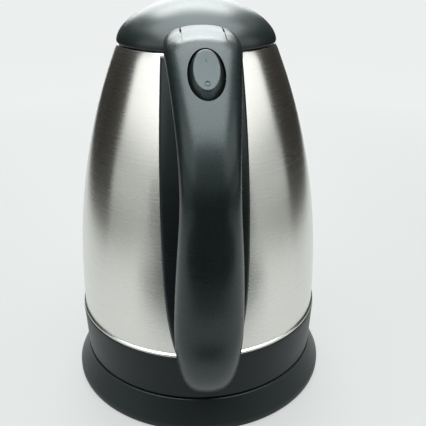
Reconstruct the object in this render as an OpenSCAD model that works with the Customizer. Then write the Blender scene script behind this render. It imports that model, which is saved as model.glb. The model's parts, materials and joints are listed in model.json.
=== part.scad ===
// Cordless electric kettle: a brushed steel jug with a swivel connector, standing on its power base.
// The origin is on the jug's axis at table level. +Z is up, the handle is towards -Y, the spout +Y.

/* [Power base] */
// How much wider the power base is at the table than at its top edge
base_flare = 6.2; // [3.5:0.1:12]
// How much wider the power base's top edge is than the foot of the jug's skirt
base_step = 0.4; // [0.1:0.1:2]
// Height of the power base's top edge above the table
base_h = 18.6; // [17.5:0.1:22]
// Height of the straight lip round the foot of the power base
base_lip_h = 3; // [1.5:0.5:5]
// How far the flank of the power base bulges outwards
flank_bulge = 0; // [-0.4:0.1:2]
// Wall thickness of the power base mouldings
base_wall = 2.4; // [1.8:0.1:2.8]
// How far the rubber foot ring stands out below the power base
foot_proud = 1.5; // [1:0.1:2.5]
// Distance from the edge of the power base to the middle of the rubber foot ring
foot_inset = 11; // [9.5:0.5:22]
// Width of the rubber foot ring
foot_w = 8; // [5:0.5:9]

/* [Connector] */
// Radius of the connector tower on the power base
tower_r = 17.5; // [16:0.5:20]
// How far the connector tower stands above the power base
tower_h = 11.4; // [10:0.2:14]
// Wall of the jug's round plug
plug_wall = 2.8; // [2:0.1:3.5]
// Radius of the centre contact pin
pin_r = 2.4; // [1.8:0.1:3]
// Running clearance between the plug and what it turns in
swivel_gap = 0.4; // [0.3:0.05:0.8]

/* [Jug] */
// Gap between the power base and the jug's skirt
seat_gap = 0.6; // [0.4:0.1:1.2]
// Height of the black skirt under the jug
skirt_h = 28.3; // [25:0.1:34]
// How far the skirt stands out past the steel jug
skirt_proud = 1.2; // [0.8:0.1:1.5]
// How much narrower the skirt is at its foot
skirt_draft = 1.2; // [0.2:0.1:1.5]
// Wall of the skirt
skirt_wall = 2.4; // [1.8:0.1:3]
// Rounding of the skirt's lower edge
skirt_roll = 1.2; // [0.4:0.1:1.6]
// Outer radius of the steel jug at its foot
body_foot_r = 73.4; // [72.4:0.1:74.4]
// Outer radius of the steel jug at its mouth
body_mouth_r = 44; // [42:0.2:46]
// Height of the steel jug from the bead to the mouth
body_h = 158; // [150:1:175]
// How late the jug's side curves in: 1 is a cone, larger is a fuller belly
belly = 2.3; // [1.8:0.05:2.6]
// Sheet thickness of the steel jug
sheet = 0.6; // [0.5:0.1:1]
// Radius of the rolled bead round the foot of the jug
bead_r = 1; // [0.8:0.1:1.4]
// Radius of the rolled lip at the mouth
lip_r = 0.9; // [0.7:0.1:1.2]

/* [Spout] */
// Depth of the bottom of the spout below the jug's mouth
spout_drop = 46.5; // [40:0.5:56]
// How far the spout's tip stands out past the jug's mouth
spout_out = 29.4; // [23:0.2:34]
// Width of the spout at its top
spout_w = 42; // [34:1:46]
// Diameter of each strainer hole
strainer_d = 3.2; // [2:0.2:4]

/* [Lid] */
// How far the lid stands out past the jug's mouth
lid_over = 0; // [0:0.1:1]
// Height of the lid's dome
lid_dome_h = 22.8; // [18:0.2:28]
// Roundness of the dome: 2 is an ellipse, lower is more pointed
lid_power = 1.75; // [1.6:0.05:2.2]
// Rounding of the lid's lower edge
lid_roll = 1.6; // [0.8:0.1:2]
// Wall of the lid
lid_wall = 2.2; // [1.6:0.1:2.8]
// Gap between the lid's edge and the jug
lid_gap = 0.3; // [0.2:0.1:0.8]
// Distance between the two hinge arms
arm_pitch = 20.3; // [16:0.1:24]
// Sheet thickness of a hinge arm
arm_t = 0.6; // [0.5:0.1:1]
// Radius of the hinge pin
hinge_pin_r = 1; // [0.8:0.1:1.4]

/* [Handle] */
// Room for the fingers between the column and the grip, at the handle's outermost point
hand_gap = 24.3; // [22:0.1:34]
// Depth of the handle's outermost point below the jug's mouth
grip_drop = 60.5; // [55:0.5:66]
// Height of the handle's lower end above the foot of the skirt
foot_rise = 11.8; // [10:0.2:15]
// Length of the handle's rounded lower end
foot_round = 49; // [44:1:54]
// Height of the handle's top above the lid's edge
head_rise = 13.6; // [12:0.2:16]
// Width of the handle's head
head_w = 37.2; // [35:0.2:40]
// Width of the grip at its narrowest
grip_w = 27; // [25:0.5:30]
// Width of the grip at its foot
grip_low_w = 34.8; // [31:0.2:36]
// Thickness of the grip from front to back
grip_t = 20; // [18.5:0.5:21]
// Wall of the two handle shells
handle_wall = 2.2; // [1.8:0.1:2.6]
// Roundness of the grip's section: 2 is an ellipse, larger is squarer
grip_power = 2.2; // [2.1:0.1:3]

/* [Gauge column] */
// Thickness of the black column on the jug
column_t = 7; // [6.4:0.1:7.4]
// Width of the column at its middle
column_w = 45.4; // [42:0.2:50]
// Width of the column at its top
column_top_w = 40; // [37:0.5:44]
// Width of the column at its foot
column_low_w = 32; // [28:0.5:36]
// Height of the column's widest place above the jug's foot
column_mid = 76; // [60:1:90]
// Width of the clear water gauge
gauge_w = 10; // [8:0.5:12]

/* [Switch] */
// Width of the oval well round the rocker
well_w = 16.9; // [15.5:0.1:18]
// Length of the oval well round the rocker
well_l = 28.5; // [27:0.5:31]
// Clearance of the rocker in its well
rocker_gap = 0.35; // [0.25:0.05:0.6]
// Tilt of the rocker to either side of level
rocker_tilt = 6; // [4:0.5:7]
// Radius of the rocker's pin
rocker_pin_r = 1; // [0.8:0.1:1.2]

/* [Hidden] */
$fn = 96;

// Clearances shared by the pieces
fit = 0.1;
screw_fit = 0.05;
pin_fit = 0.05;
eps = 0.01;
deep = 300;

// Screws
screw_r = 1.4;
screw_head_r = 2.8;
screw_head_h = 1.8;
boss_r = 3.6;

// Radii that follow the jug
skirt_r = body_foot_r + skirt_proud;
base_top_r = skirt_r - skirt_draft + base_step;
base_r = base_top_r + base_flare;
foot_r = base_r - foot_inset;
lid_r = body_mouth_r + lid_over;

// Heights of the power base
base_floor_t = 2;
base_floor_z = foot_proud + base_floor_t;
base_edge_rad = 0.8;
base_lip_z = foot_proud + base_lip_h;
base_skin_r = base_r - 1.25 * base_wall;
foot_seat = 1;
base_screw_ring = foot_r - 19;
socket_flange_r = tower_r + 4.5;
socket_foot_r = tower_r - 3;
tower_top_z = base_h + tower_h;

// Cord inlet through the wall of the power base, under the spout
gland_bore_r = 3.4;
gland_r = 5;
gland_flange_r = 6;
gland_z = 9.8;
gland_in = 7.7;
gland_flange_t = 1.6;
gland_out = 1.5;
gland_y = base_r - base_wall;

// Heights of the jug
skirt_z = base_h + seat_gap;
skirt_top_z = skirt_z + skirt_h;
body_z = skirt_top_z + bead_r;
mouth_z = body_z + body_h;
cover_t = 2.2;
cover_lift = 0.4;
cover_z = skirt_z + cover_lift;
cover_top_z = cover_z + cover_t;
plug_top_z = tower_top_z + swivel_gap + 2;
plug_out_r = tower_r + swivel_gap + plug_wall;
control_z = plug_top_z + swivel_gap;
plate_t = 0.8;
plate_z = body_z + 1.7;
spreader_t = 3;
spreader_r = body_foot_r - 16.3;
spreader_z = plate_z - spreader_t;
cover_screw_ring = skirt_r - 13.3;
cover_screw_turn = 90;

// Outer radius of the steel jug at a height
function body_r(z) =
    body_foot_r - (body_foot_r - body_mouth_r) * pow(max(0, (z - body_z) / body_h), belly);

// Outline of the jug, moved outwards by d, from height z0 to z1
profile_steps = 24;
function body_side(d, z0, z1) =
    [for (i = [0:profile_steps]) let (z = z0 + (z1 - z0) * i / profile_steps) [body_r(z) + d, z]];
function reversed(v) = [for (i = [len(v) - 1:-1:0]) v[i]];

// A layer on the jug's outside, between two offsets and two heights
module body_layer(d0, d1, z0, z1) {
    rotate_extrude() polygon(concat(body_side(d1, z0, z1), reversed(body_side(d0, z0, z1))));
}

// A layer on the back of the jug, w wide
module back_layer(d0, d1, z0, z1, w) {
    intersection() {
        body_layer(d0, d1, z0, z1);
        translate([-w / 2, -deep, 0]) cube([w, deep, deep]);
    }
}

// The whole space of the jug, moved outwards by d
module body_space(d) {
    rotate_extrude() polygon(concat([[0, skirt_top_z], [body_foot_r + d, skirt_top_z]],
        body_side(d, body_z, mouth_z + eps), [[0, mouth_z + eps]]));
}

// A closed skin through rings of equal length: shell rings pair their first half with their second
module loft(rings, shell = false) {
    n = len(rings[0]);
    m = len(rings);
    half = n / 2;
    side = [for (i = [0:m - 2]) for (j = [0:n - 1]) for (k = [0, 1])
        let (a = i * n + j, b = i * n + (j + 1) % n, c = b + n, d = a + n)
        k == 0 ? [a, b, c] : [a, c, d]];
    first = shell
        ? [for (j = [0:half - 2]) for (k = [0, 1])
            k == 0 ? [j, n - 1 - j, j + 1] : [j + 1, n - 1 - j, n - 2 - j]]
        : [[for (j = [n - 1:-1:0]) j]];
    last = shell
        ? [for (j = [0:half - 2]) for (k = [0, 1]) let (o = (m - 1) * n)
            k == 0 ? [o + j, o + j + 1, o + n - 1 - j] : [o + j + 1, o + n - 2 - j, o + n - 1 - j]]
        : [[for (j = [0:n - 1]) (m - 1) * n + j]];
    polyhedron([for (r = rings) for (p = r) p], concat(side, first, last), convexity = 10);
}

// A skin through outer rings, hollowed from ring h by inner rings and open along its closing side
module open_shell(outer, inner, h) {
    n = len(outer[0]);
    m = len(outer);
    f = h + len(inner) - 1;
    function o(i, j) = i * n + j;
    function c(i, j) = (m + i - h) * n + j;
    function quad(p, q, r, s) = [[p, q, r], [p, r, s]];
    skin = [for (i = [0:m - 2]) for (j = [0:n - 2])
        each quad(o(i, j), o(i, j + 1), o(i + 1, j + 1), o(i + 1, j))];
    cavity = [for (i = [h:f - 1]) for (j = [0:n - 2])
        each quad(c(i, j), c(i + 1, j), c(i + 1, j + 1), c(i, j + 1))];
    closing = [for (i = [0:m - 2]) if (i < h - 1 || i > f)
        each quad(o(i, n - 1), o(i, 0), o(i + 1, 0), o(i + 1, n - 1))];
    rims = [for (i = [h:f - 1]) each concat(
        quad(o(i, n - 1), c(i, n - 1), c(i + 1, n - 1), o(i + 1, n - 1)),
        quad(c(i, 0), o(i, 0), o(i + 1, 0), c(i + 1, 0)))];
    near = [for (q = [[o(h - 1, 0), o(h, 0)], [o(h, 0), c(h, 0)], [c(h, 0), c(h, n - 1)],
        [c(h, n - 1), o(h, n - 1)]]) [o(h - 1, n - 1), q[0], q[1]]];
    far = [for (q = [[o(f, n - 1), c(f, n - 1)], [c(f, n - 1), c(f, 0)], [c(f, 0), o(f, 0)],
        [o(f, 0), o(f + 1, 0)]]) [o(f + 1, n - 1), q[0], q[1]]];
    ends = [[for (j = [n - 1:-1:0]) o(0, j)], [for (j = [0:n - 1]) o(m - 1, j)],
        [for (j = [0:n - 1]) c(h, j)], [for (j = [n - 1:-1:0]) c(f, j)]];
    polyhedron([for (r = concat(outer, inner)) for (p = r) p],
        concat(skin, cavity, closing, rims, near, far, ends), convexity = 10);
}

// Smooth curve through stations, as points [distance from the axis, height, half width, thickness]
curve_steps = 3;
function through(a, b, c, d, t) =
    0.5 * (2 * b + (c - a) * t + (2 * a - 5 * b + 4 * c - d) * t * t
    + (3 * b - a - 3 * c + d) * t * t * t);
function smooth(st) = concat(
    [for (i = [0:len(st) - 2]) for (j = [0:curve_steps - 1])
        through(st[max(i - 1, 0)], st[i], st[i + 1], st[min(i + 2, len(st) - 1)], j / curve_steps)],
    [st[len(st) - 1]]);

// Handle: stations along its outer surface, from the lid to the foot
lid_z = mouth_z + lid_gap + lid_roll;
head_top_z = mouth_z + lid_gap + head_rise + 0.1;
head_front = lid_r + 0.6;
head_t = 18;
handle_reach_z = mouth_z - grip_drop;
handle_reach = body_r(handle_reach_z) + column_t + hand_gap + grip_t;
foot_tip_z = skirt_z + foot_rise;
foot_turn_z = foot_tip_z + foot_round;
foot_reach = handle_reach - 11.2;
foot_root_r = skirt_r + 1.7;
foot_inner_r = skirt_r - 2.8;
foot_taper = 0.45;
foot_angles = [0, 20, 40, 60, 75, 84];
foot_stations = [for (a = foot_angles)
    let (rho = foot_root_r + (foot_reach - foot_root_r) * cos(a),
        solid_t = rho - foot_inner_r, mix = min(1, a / 30))
    [rho, foot_turn_z - (foot_turn_z - foot_tip_z) * sin(a), grip_low_w / 2 * pow(cos(a), foot_taper),
    grip_t * (1 - mix) + solid_t * mix]];
handle_stations = concat([
    [head_front, head_top_z, head_w / 2 - 0.3, head_t],
    [head_front + 13.4, head_top_z - 1.7, head_w / 2, head_t],
    [head_front + 27.4, head_top_z - 6.8, head_w / 2 - 1, head_t],
    [handle_reach - 21.5, handle_reach_z + 49, grip_w / 2 + 1.7, grip_t - 1.5],
    [handle_reach - 9, handle_reach_z + 34, grip_w / 2 + 0.5, grip_t - 0.5],
    [handle_reach - 1.5, handle_reach_z + 17, grip_w / 2, grip_t],
    [handle_reach, handle_reach_z, grip_w / 2 + 0.4, grip_t],
    [handle_reach - 2, handle_reach_z - 21, (grip_w + grip_low_w) / 4 - 0.2, grip_t],
    [handle_reach - 7, foot_turn_z + 20, grip_low_w / 2 - 0.7, grip_t]], foot_stations);
handle_path = smooth(handle_stations);
handle_rings = len(handle_path);
head_block_ring = 2;
foot_block_ring = curve_steps * (len(handle_stations) - 3);
parting = 0.3;
section_steps = 12;

// Outward direction of a section, as [away from the axis, up]: square to the path, but level in the foot
level_zone = 25;
function path_normal(i) =
    let (a = handle_path[max(i - 1, 0)], b = handle_path[min(i + 1, handle_rings - 1)],
        share = max(0, min(1, (handle_path[i][1] - foot_turn_z) / level_zone)),
        angle = share * atan2(b[0] - a[0], a[1] - b[1]))
    [cos(angle), sin(angle)];

// A point of the handle's section at ring i: x across, n outwards from the section's middle
function handle_point(i, x, n) =
    let (p = handle_path[i], v = path_normal(i), s = n - p[3] / 2)
    [x, -(p[0] + v[0] * s), p[1] + v[1] * s];

// A point of the section's curve at angle a, moved inwards by d
function signed_pow(v, e) = sign(v) * pow(abs(v), e);
function section_point(i, a, d) =
    handle_point(i, (handle_path[i][2] - d) * signed_pow(cos(a), 2 / grip_power),
        (handle_path[i][3] / 2 - d) * signed_pow(sin(a), 2 / grip_power));

// The curve angle at which the section meets the parting plane, moved inwards by d
function parting_angle(i, d) =
    let (h = handle_path[i][3] / 2) asin(pow(min(1, parting * h / (h - d)), grip_power / 2));

// One side of the section's curve, front shell or back shell
function section_arc(i, d, front) =
    let (a = parting_angle(i, d), from = front ? -a : 180 + a, to = front ? 180 + a : 360 - a)
    [for (k = [0:section_steps]) section_point(i, from + (to - from) * k / section_steps, d)];

// Front or back half of the handle: a shell between two solid ends
module handle_half(front) {
    open_shell([for (i = [0:handle_rings - 1]) section_arc(i, 0, front)],
        [for (i = [head_block_ring:foot_block_ring]) section_arc(i, handle_wall, front)],
        head_block_ring);
}

// The hinge pin lies in the head, just behind the lid's edge
hinge_y = -(head_front + 2.9);
hinge_z = head_top_z - 4;
hinge_eye_r = hinge_pin_r + 1.3;
hinge_pin_l = arm_pitch + 6;
arm_slot_w = arm_t + 0.3;
arm_slot_drop = 1.8;

// Side view of an arm's slot in the head: deep round the pin, running out in a shallow groove
arm_slot_deep_y = hinge_y - hinge_eye_r - 1.6;
arm_slot_low_z = hinge_z - hinge_eye_r - arm_slot_drop;
arm_slot = [[2 - head_front, arm_slot_low_z], [arm_slot_deep_y, arm_slot_low_z],
    [arm_slot_deep_y, head_top_z - 2.7], [-head_front - 20.4, head_top_z - 6.1],
    [-head_front - 20.4, head_top_z + 2], [2 - head_front, head_top_z + 2]];

// The part of an arm that fills its slot in front of the pin, level with the head's top
arm_cap = [[0.3 - head_front, hinge_z - 1], [0.3 - head_front, hinge_z + 1],
    [-head_front - 0.1, head_top_z - 1.2], [-head_front - 5.6, head_top_z - 1.7],
    [-head_front - 5.6, hinge_z]];

// Height of the column's top, where the head sits
seat_z = head_top_z - 19.3;

// The rocker's well sits on the slope between the head and the grip
well_t = 0.5;
well_a = handle_stations[2];
well_b = handle_stations[3];
well_slope = atan2(well_a[1] - well_b[1], well_b[0] - well_a[0]);
well_rho = (well_a[0] + well_b[0]) * well_t;
well_z = (well_a[1] + well_b[1]) * well_t;
well_crown = 1.2;

// Local frame of the rocker: +Z out of the handle, +Y up its slope, origin on the surface
module at_well() {
    translate([0, -well_rho, well_z]) rotate([well_slope, 0, 0]) translate([0, 0, well_crown])
        children();
}

// An oval outline
function oval(w, l, cy = 0, n = 48) =
    [for (i = [0:n - 1]) [w / 2 * cos(360 * i / n), cy + l / 2 * sin(360 * i / n)]];

// The rocker's frame, tipped to its rest position
rocker_pin_depth = 5.6;
rocker_deep = 7.6;
module at_rocker() {
    at_well() translate([0, 0, -rocker_pin_depth]) rotate([rocker_tilt, 0, 0]) children();
}

// Three places on a ring
module thrice(ring, turn = 0) {
    for (a = [0, 120, 240]) rotate(a + turn) translate([ring, 0, 0]) children();
}

// A screw pointing up, with its head below z = 0
module screw(length, r = screw_r) {
    cylinder(r = r, h = length);
    translate([0, 0, -screw_head_h]) cylinder(r = screw_head_r, h = screw_head_h);
}

// Power base
base_flank = [for (i = [0:8]) let (t = i / 8)
    [base_r + (base_top_r - base_r) * t + flank_bulge * 4 * t * (1 - t),
    base_lip_z + (base_h - base_edge_rad - base_lip_z) * t]];
function inward(v, d, top) = [for (p = v) [p[0] - d, min(p[1], top)]];

module base_top() {
    plate_low_z = base_h - base_wall;
    color("#20282a") difference() {
        union() {
            rotate_extrude() polygon(concat([[base_r, foot_proud]], base_flank,
                [[base_top_r - base_edge_rad, base_h], [tower_r + 2 * fit, base_h],
                [tower_r + 2 * fit, plate_low_z], [base_top_r - 2 * base_wall, plate_low_z]],
                reversed(inward(base_flank, 1.25 * base_wall, plate_low_z)),
                [[base_skin_r, foot_proud]]));
            thrice(base_screw_ring) translate([0, 0, base_floor_z])
                cylinder(r = boss_r, h = base_h - base_wall - base_floor_z + eps);
        }
        thrice(base_screw_ring) translate([0, 0, foot_proud])
            cylinder(r = screw_r + screw_fit, h = base_h - 2 * base_wall);
        translate([0, gland_y - gland_in - 1, gland_z]) rotate([-90, 0, 0])
            cylinder(r = gland_r + fit, h = 30);
    }
}

module base_bottom() {
    color("#1a1f21") difference() {
        translate([0, 0, foot_proud]) cylinder(r = base_skin_r - fit, h = base_floor_t);
        translate([0, 0, foot_proud - eps]) rotate_extrude()
            translate([foot_r - foot_w / 2 - fit, 0]) square([foot_w + 2 * fit, foot_seat + eps]);
        thrice(base_screw_ring) {
            translate([0, 0, foot_proud - 1]) cylinder(r = screw_r + screw_fit, h = 5);
            translate([0, 0, foot_proud - 1])
                cylinder(r = screw_head_r + fit, h = 1 + screw_head_h / 2 + fit);
        }
    }
}

module foot_ring() {
    color("#2c2f30") rotate_extrude() translate([foot_r - foot_w / 2, 0])
        square([foot_w, foot_proud + foot_seat]);
}

slot_in_r = 8.2;
slot_out_r = 11;
slot_depth = 10;
contact_t = 0.45;

module base_socket() {
    color("#15191b") difference() {
        union() {
            translate([0, 0, base_floor_z]) cylinder(r = socket_foot_r, h = tower_top_z - base_floor_z);
            translate([0, 0, base_h - base_wall - 2.6]) cylinder(r = socket_flange_r, h = 2.6 - fit);
            translate([0, 0, base_h - base_wall - 2]) cylinder(r = tower_r, h = tower_h + base_wall + 2);
        }
        translate([0, 0, tower_top_z - slot_depth - 2])
            cylinder(r = pin_r + 0.4 + contact_t, h = slot_depth + 3);
        translate([0, 0, tower_top_z - slot_depth]) rotate_extrude() translate([slot_in_r, 0])
            square([slot_out_r - slot_in_r, slot_depth + 1]);
    }
}

module socket_contacts() {
    sleeve_r = pin_r + 0.35 + contact_t;
    color("#c9a24a") {
        translate([0, 0, tower_top_z - slot_depth - 2]) rotate_extrude()
            translate([sleeve_r - contact_t, 0]) square([contact_t, slot_depth - 1]);
        translate([0, 0, tower_top_z - slot_depth]) rotate_extrude()
            translate([slot_out_r - contact_t - screw_fit, 0]) square([contact_t, slot_depth - 2]);
    }
}

module base_screws() {
    color("#9a9c9c") thrice(base_screw_ring)
        translate([0, 0, foot_proud + screw_head_h / 2]) intersection() {
            screw(base_h - 3 * base_wall - foot_proud);
            translate([0, 0, -screw_head_h / 2]) cylinder(r = 4, h = 30);
        }
}

module cord_gland() {
    color("#101314") translate([0, gland_y - gland_in, gland_z]) rotate([-90, 0, 0]) difference() {
        union() {
            cylinder(r = gland_r, h = gland_in + base_wall + gland_out);
            cylinder(r = gland_flange_r, h = gland_flange_t);
        }
        translate([0, 0, -1]) cylinder(r = gland_bore_r, h = 20);
    }
}

// The jug's plug turns with the jug but is round, so it is the same at every angle
module kettle_plug() {
    cup_r = tower_r + swivel_gap;
    color("#1b2022") translate([0, 0, cover_z]) difference() {
        cylinder(r = plug_out_r, h = plug_top_z - cover_z);
        translate([0, 0, -1]) cylinder(r = cup_r, h = tower_top_z + swivel_gap - cover_z + 1);
    }
}

module plug_contacts() {
    ceiling_z = tower_top_z + swivel_gap;
    ring_in_r = slot_in_r + 0.7;
    color("#c9a24a") {
        translate([0, 0, ceiling_z - slot_depth]) cylinder(r = pin_r, h = slot_depth);
        translate([0, 0, ceiling_z - slot_depth + 1.5]) rotate_extrude() translate([ring_in_r, 0])
            square([slot_out_r - contact_t - 0.5 - ring_in_r, slot_depth - 1.5]);
    }
}

// Steel jug: one sheet with a bead at its foot and a rolled lip at its mouth
steam_in = [body_r(mouth_z - 10.5), mouth_z - 10.5];
steam_out = [well_rho - 18.15, seat_z + 6.5];
duct_r = 3;
duct_bore_r = 2;
gauge_low_z = body_z + 24;
gauge_high_z = mouth_z - 31;
gauge_port_r = 2;
seal_r = 3.2;

module steam_line(r, back, ahead) {
    dir = steam_out - steam_in;
    translate([0, -steam_in[0], steam_in[1]]) rotate([90 - atan2(dir[1], dir[0]), 0, 0])
        translate([0, 0, -back]) cylinder(r = r, h = back + norm(dir) + ahead);
}

module gauge_port(z, r, inner, outer) {
    translate([0, -body_r(z) - outer, z]) rotate([-90, 0, 0]) cylinder(r = r, h = inner + outer);
}

strainer_pitch = 5.2;
strainer_rows = 4;
strainer_cols = 5;
spout_low_z = mouth_z - spout_drop;
strainer_low_z = spout_low_z + 21;

module body_shell() {
    rim_x = body_mouth_r - lip_r - 0.05;
    color("#c8c9c4") difference() {
        union() {
            rotate_extrude() polygon(concat([[body_foot_r, skirt_top_z]],
                body_side(0, body_z, mouth_z), reversed(body_side(-sheet, body_z, mouth_z)),
                [[body_foot_r - sheet, skirt_top_z]]));
            rotate_extrude() translate([body_foot_r + 0.1, body_z]) circle(r = bead_r - 0.001);
            rotate_extrude() translate([rim_x, mouth_z - lip_r + 0.05]) circle(r = lip_r);
        }
        translate([0, 0, plate_z - 5]) cylinder(r = body_foot_r - sheet - eps, h = 10);
        for (i = [0:strainer_rows - 1]) for (j = [0:strainer_cols - 1])
            translate([(j - (strainer_cols - 1) / 2) * strainer_pitch, 0,
                strainer_low_z + i * strainer_pitch])
                rotate([-90, 0, 0]) cylinder(d = strainer_d, h = deep);
        steam_line(duct_bore_r, 6, -norm(steam_out - steam_in) + 1);
        for (z = [gauge_low_z, gauge_high_z]) gauge_port(z, seal_r + screw_fit, 6, 1);
    }
}

// Open beak in front of the strainer holes
spout_reach = body_mouth_r + spout_out;
spout_rise = 2.5;
spout_rings = 12;
spout_steps = 20;
spout_top_z = mouth_z - 2.5;
spout_root = 3;

function spout_ring(i, d) =
    let (u = i / spout_rings, z = spout_low_z + (spout_top_z - spout_low_z) * u,
        w = 4 + (spout_w / 2 - 4) * pow(u, 0.6) - d, r = body_r(z), y0 = r - spout_root,
        tip = r + 0.4 + (spout_reach - body_r(spout_top_z) - 0.4) * pow(u, 1.3) - 1.3 * d)
    [for (k = [0:spout_steps]) let (a = -90 + 180 * k / spout_steps)
        [w * sin(a), y0 - 8 * pow(sin(a), 2) + (tip - y0) * pow(max(0, cos(a)), 1.15),
        z + spout_rise * u * u * cos(a)]];

module spout() {
    color("#c8c9c4") difference() {
        loft([for (i = [0:spout_rings]) concat(spout_ring(i, 0), reversed(spout_ring(i, sheet + 0.2)))],
            shell = true);
        body_space(0.02);
    }
}

module heater_plate() {
    color("#b9bab8") {
        translate([0, 0, plate_z]) cylinder(r = body_foot_r - sheet - fit, h = plate_t);
        translate([0, 0, skirt_top_z + 0.5]) rotate_extrude()
            translate([body_foot_r - sheet - fit - plate_t, 0])
            square([plate_t, plate_z - skirt_top_z]);
    }
}

module heat_spreader() {
    color("#a8adb0") translate([0, 0, spreader_z]) cylinder(r = spreader_r, h = spreader_t - screw_fit);
}

element_ring = spreader_r - 14;
element_r = 3.3;

module heating_element() {
    color("#7d7f80") translate([0, 0, spreader_z - element_r - screw_fit]) {
        rotate(120) rotate_extrude(angle = 300) translate([element_ring, 0]) circle(r = element_r);
        for (a = [120, 60]) rotate(a) translate([element_ring, 0, 0]) mirror([0, 0, 1]) {
            cylinder(r = element_r, h = 5);
            translate([0, 0, 5]) cylinder(r = 1, h = 3);
        }
    }
}

control_r = 24;
disc_x = 14;
disc_r = 6.5;
disc_t = 0.6;

module control_unit() {
    top_z = spreader_z - 3;
    color("#d8d6cc") difference() {
        union() {
            translate([0, 0, control_z]) cylinder(r = control_r, h = top_z - control_z);
            thrice(control_r - 4, 90) translate([0, 0, control_z])
                cylinder(r = 3, h = spreader_z - fit - control_z);
            for (s = [-1, 1]) translate([s * disc_x, 0, top_z - eps])
                cylinder(r = disc_r - 2, h = 3 - disc_t - 2 * fit);
            translate([-8, -control_r - 8, control_z]) cube([16, 12, top_z - control_z - 2]);
        }
    }
}

module boil_dry_discs() {
    color("#b08d57") for (s = [-1, 1]) translate([s * disc_x, 0, spreader_z - disc_t - fit])
        cylinder(r = disc_r, h = disc_t);
}

wire_port_z = skirt_top_z - 4.6;
wire_port_r = 4;
handle_screw_z = foot_tip_z + 3.2;
handle_screw_l = 4.6;
handle_screw_y = -skirt_r + skirt_wall + 1.2;

// Openings through the skirt and into the foot of the handle
module wire_port() {
    translate([0, -skirt_r - 14, wire_port_z]) rotate([-90, 0, 0])
        cylinder(r = wire_port_r, h = 24);
}
module handle_screw_hole() {
    translate([0, handle_screw_y + 6, handle_screw_z]) rotate([90, 0, 0])
        cylinder(r = screw_r + screw_fit, h = handle_screw_l + 7);
}

module skirt() {
    foot_out = skirt_r - skirt_draft;
    color("#20282a") difference() {
        union() {
            rotate_extrude() polygon([[foot_out - skirt_roll, skirt_z],
                [foot_out - 0.3 * skirt_roll, skirt_z + 0.4 * skirt_roll], [foot_out, skirt_z + 1.3 * skirt_roll],
                [skirt_r, skirt_top_z],
                [body_foot_r - sheet - fit - plate_t - 3, skirt_top_z],
                [body_foot_r - sheet - fit - plate_t - 3, skirt_top_z - skirt_wall],
                [skirt_r - skirt_wall, skirt_top_z - skirt_wall], [foot_out - skirt_wall, skirt_z]]);
            thrice(cover_screw_ring, cover_screw_turn) {
                translate([0, 0, cover_top_z]) cylinder(r = boss_r, h = 16);
                translate([0, -1, cover_top_z + 2]) cube([skirt_r - cover_screw_ring - 1, 2, 14]);
            }
        }
        thrice(cover_screw_ring, cover_screw_turn) translate([0, 0, cover_top_z - 1])
            cylinder(r = screw_r + screw_fit, h = 14);
        wire_port();
        handle_screw_hole();
    }
}

module bottom_cover() {
    color("#1a1f21") difference() {
        translate([0, 0, cover_z])
            cylinder(r = skirt_r - skirt_draft - skirt_wall - 2 * fit, h = cover_t - screw_fit);
        translate([0, 0, cover_z - 1]) cylinder(r = plug_out_r + swivel_gap, h = cover_t + 2);
        thrice(cover_screw_ring, cover_screw_turn) translate([0, 0, cover_z - 1]) {
            cylinder(r = screw_r + screw_fit, h = 5);
            cylinder(r = screw_head_r + fit, h = 1 + screw_head_h / 2 + fit);
        }
    }
}

module cover_screws() {
    color("#9a9c9c") thrice(cover_screw_ring, cover_screw_turn)
        translate([0, 0, cover_z + screw_head_h / 2]) intersection() {
            screw(12);
            translate([0, 0, -screw_head_h / 2]) cylinder(r = 4, h = 30);
        }
}

// Black column on the back of the jug, with the clear gauge in its middle
column_low_z = body_z + bead_r + 1;
column_mid_z = body_z + column_mid;
column_top_z = mouth_z - 1;

function column_half(z) = z > column_mid_z
    ? column_w / 2 - (column_w - column_top_w) / 2 * pow((z - column_mid_z) / (mouth_z - column_mid_z), 2)
    : column_w / 2 - (column_w - column_low_w) / 2
        * pow((column_mid_z - z) / (column_mid_z - column_low_z), 3);

module column_sheet(d) {
    steps = 24;
    heights = [for (i = [0:steps]) column_low_z - d + (column_top_z + 2 * d - column_low_z) * i / steps];
    rotate([90, 0, 0]) linear_extrude(deep) polygon(concat(
        [for (z = heights) [column_half(z) + d, z]],
        reversed([for (z = heights) [-column_half(z) - d, z]])));
}

module column_space(d) {
    intersection() {
        body_layer(fit / 2, column_t + d, column_low_z - d, column_top_z + d);
        column_sheet(d);
    }
}

gauge_ends = 7;
module gauge_band(d0, d1, w, over) {
    back_layer(d0, d1, gauge_low_z - gauge_ends - over, gauge_high_z + gauge_ends + over, w);
}

// Room for the head, which sits on the column between its two upper corners
module head_room() {
    translate([-head_w / 2 - 2 * fit, -deep, seat_z - fit]) cube([head_w + 4 * fit, deep, head_rise]);
}

module gauge_column() {
    color("#1c2224") difference() {
        column_space(0);
        head_room();
        gauge_band(-1, column_t + 1, gauge_w + 2 * fit, fit);
        bracket_room();
        steam_line(duct_r + fit, 4, 4);
    }
}

gauge_wall = 1.2;
module water_gauge() {
    color("#dfe8ea") difference() {
        gauge_band(0.4, column_t - 0.6, gauge_w, 0);
        back_layer(0.4 + gauge_wall, column_t - 0.6 - gauge_wall, gauge_low_z - gauge_ends / 2,
            gauge_high_z + gauge_ends / 2, gauge_w - 2 * gauge_wall);
        for (z = [gauge_low_z, gauge_high_z]) gauge_port(z, gauge_port_r, 3, 3);
    }
}

module gauge_seals() {
    color("#d9d4cc") for (z = [gauge_low_z, gauge_high_z]) difference() {
        union() {
            gauge_port(z, seal_r, sheet + 2.2, -0.6);
            gauge_port(z, seal_r + 1.4, sheet + 3, -sheet - 1.6);
        }
        gauge_port(z, gauge_port_r, 8, 3);
    }
}

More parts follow.
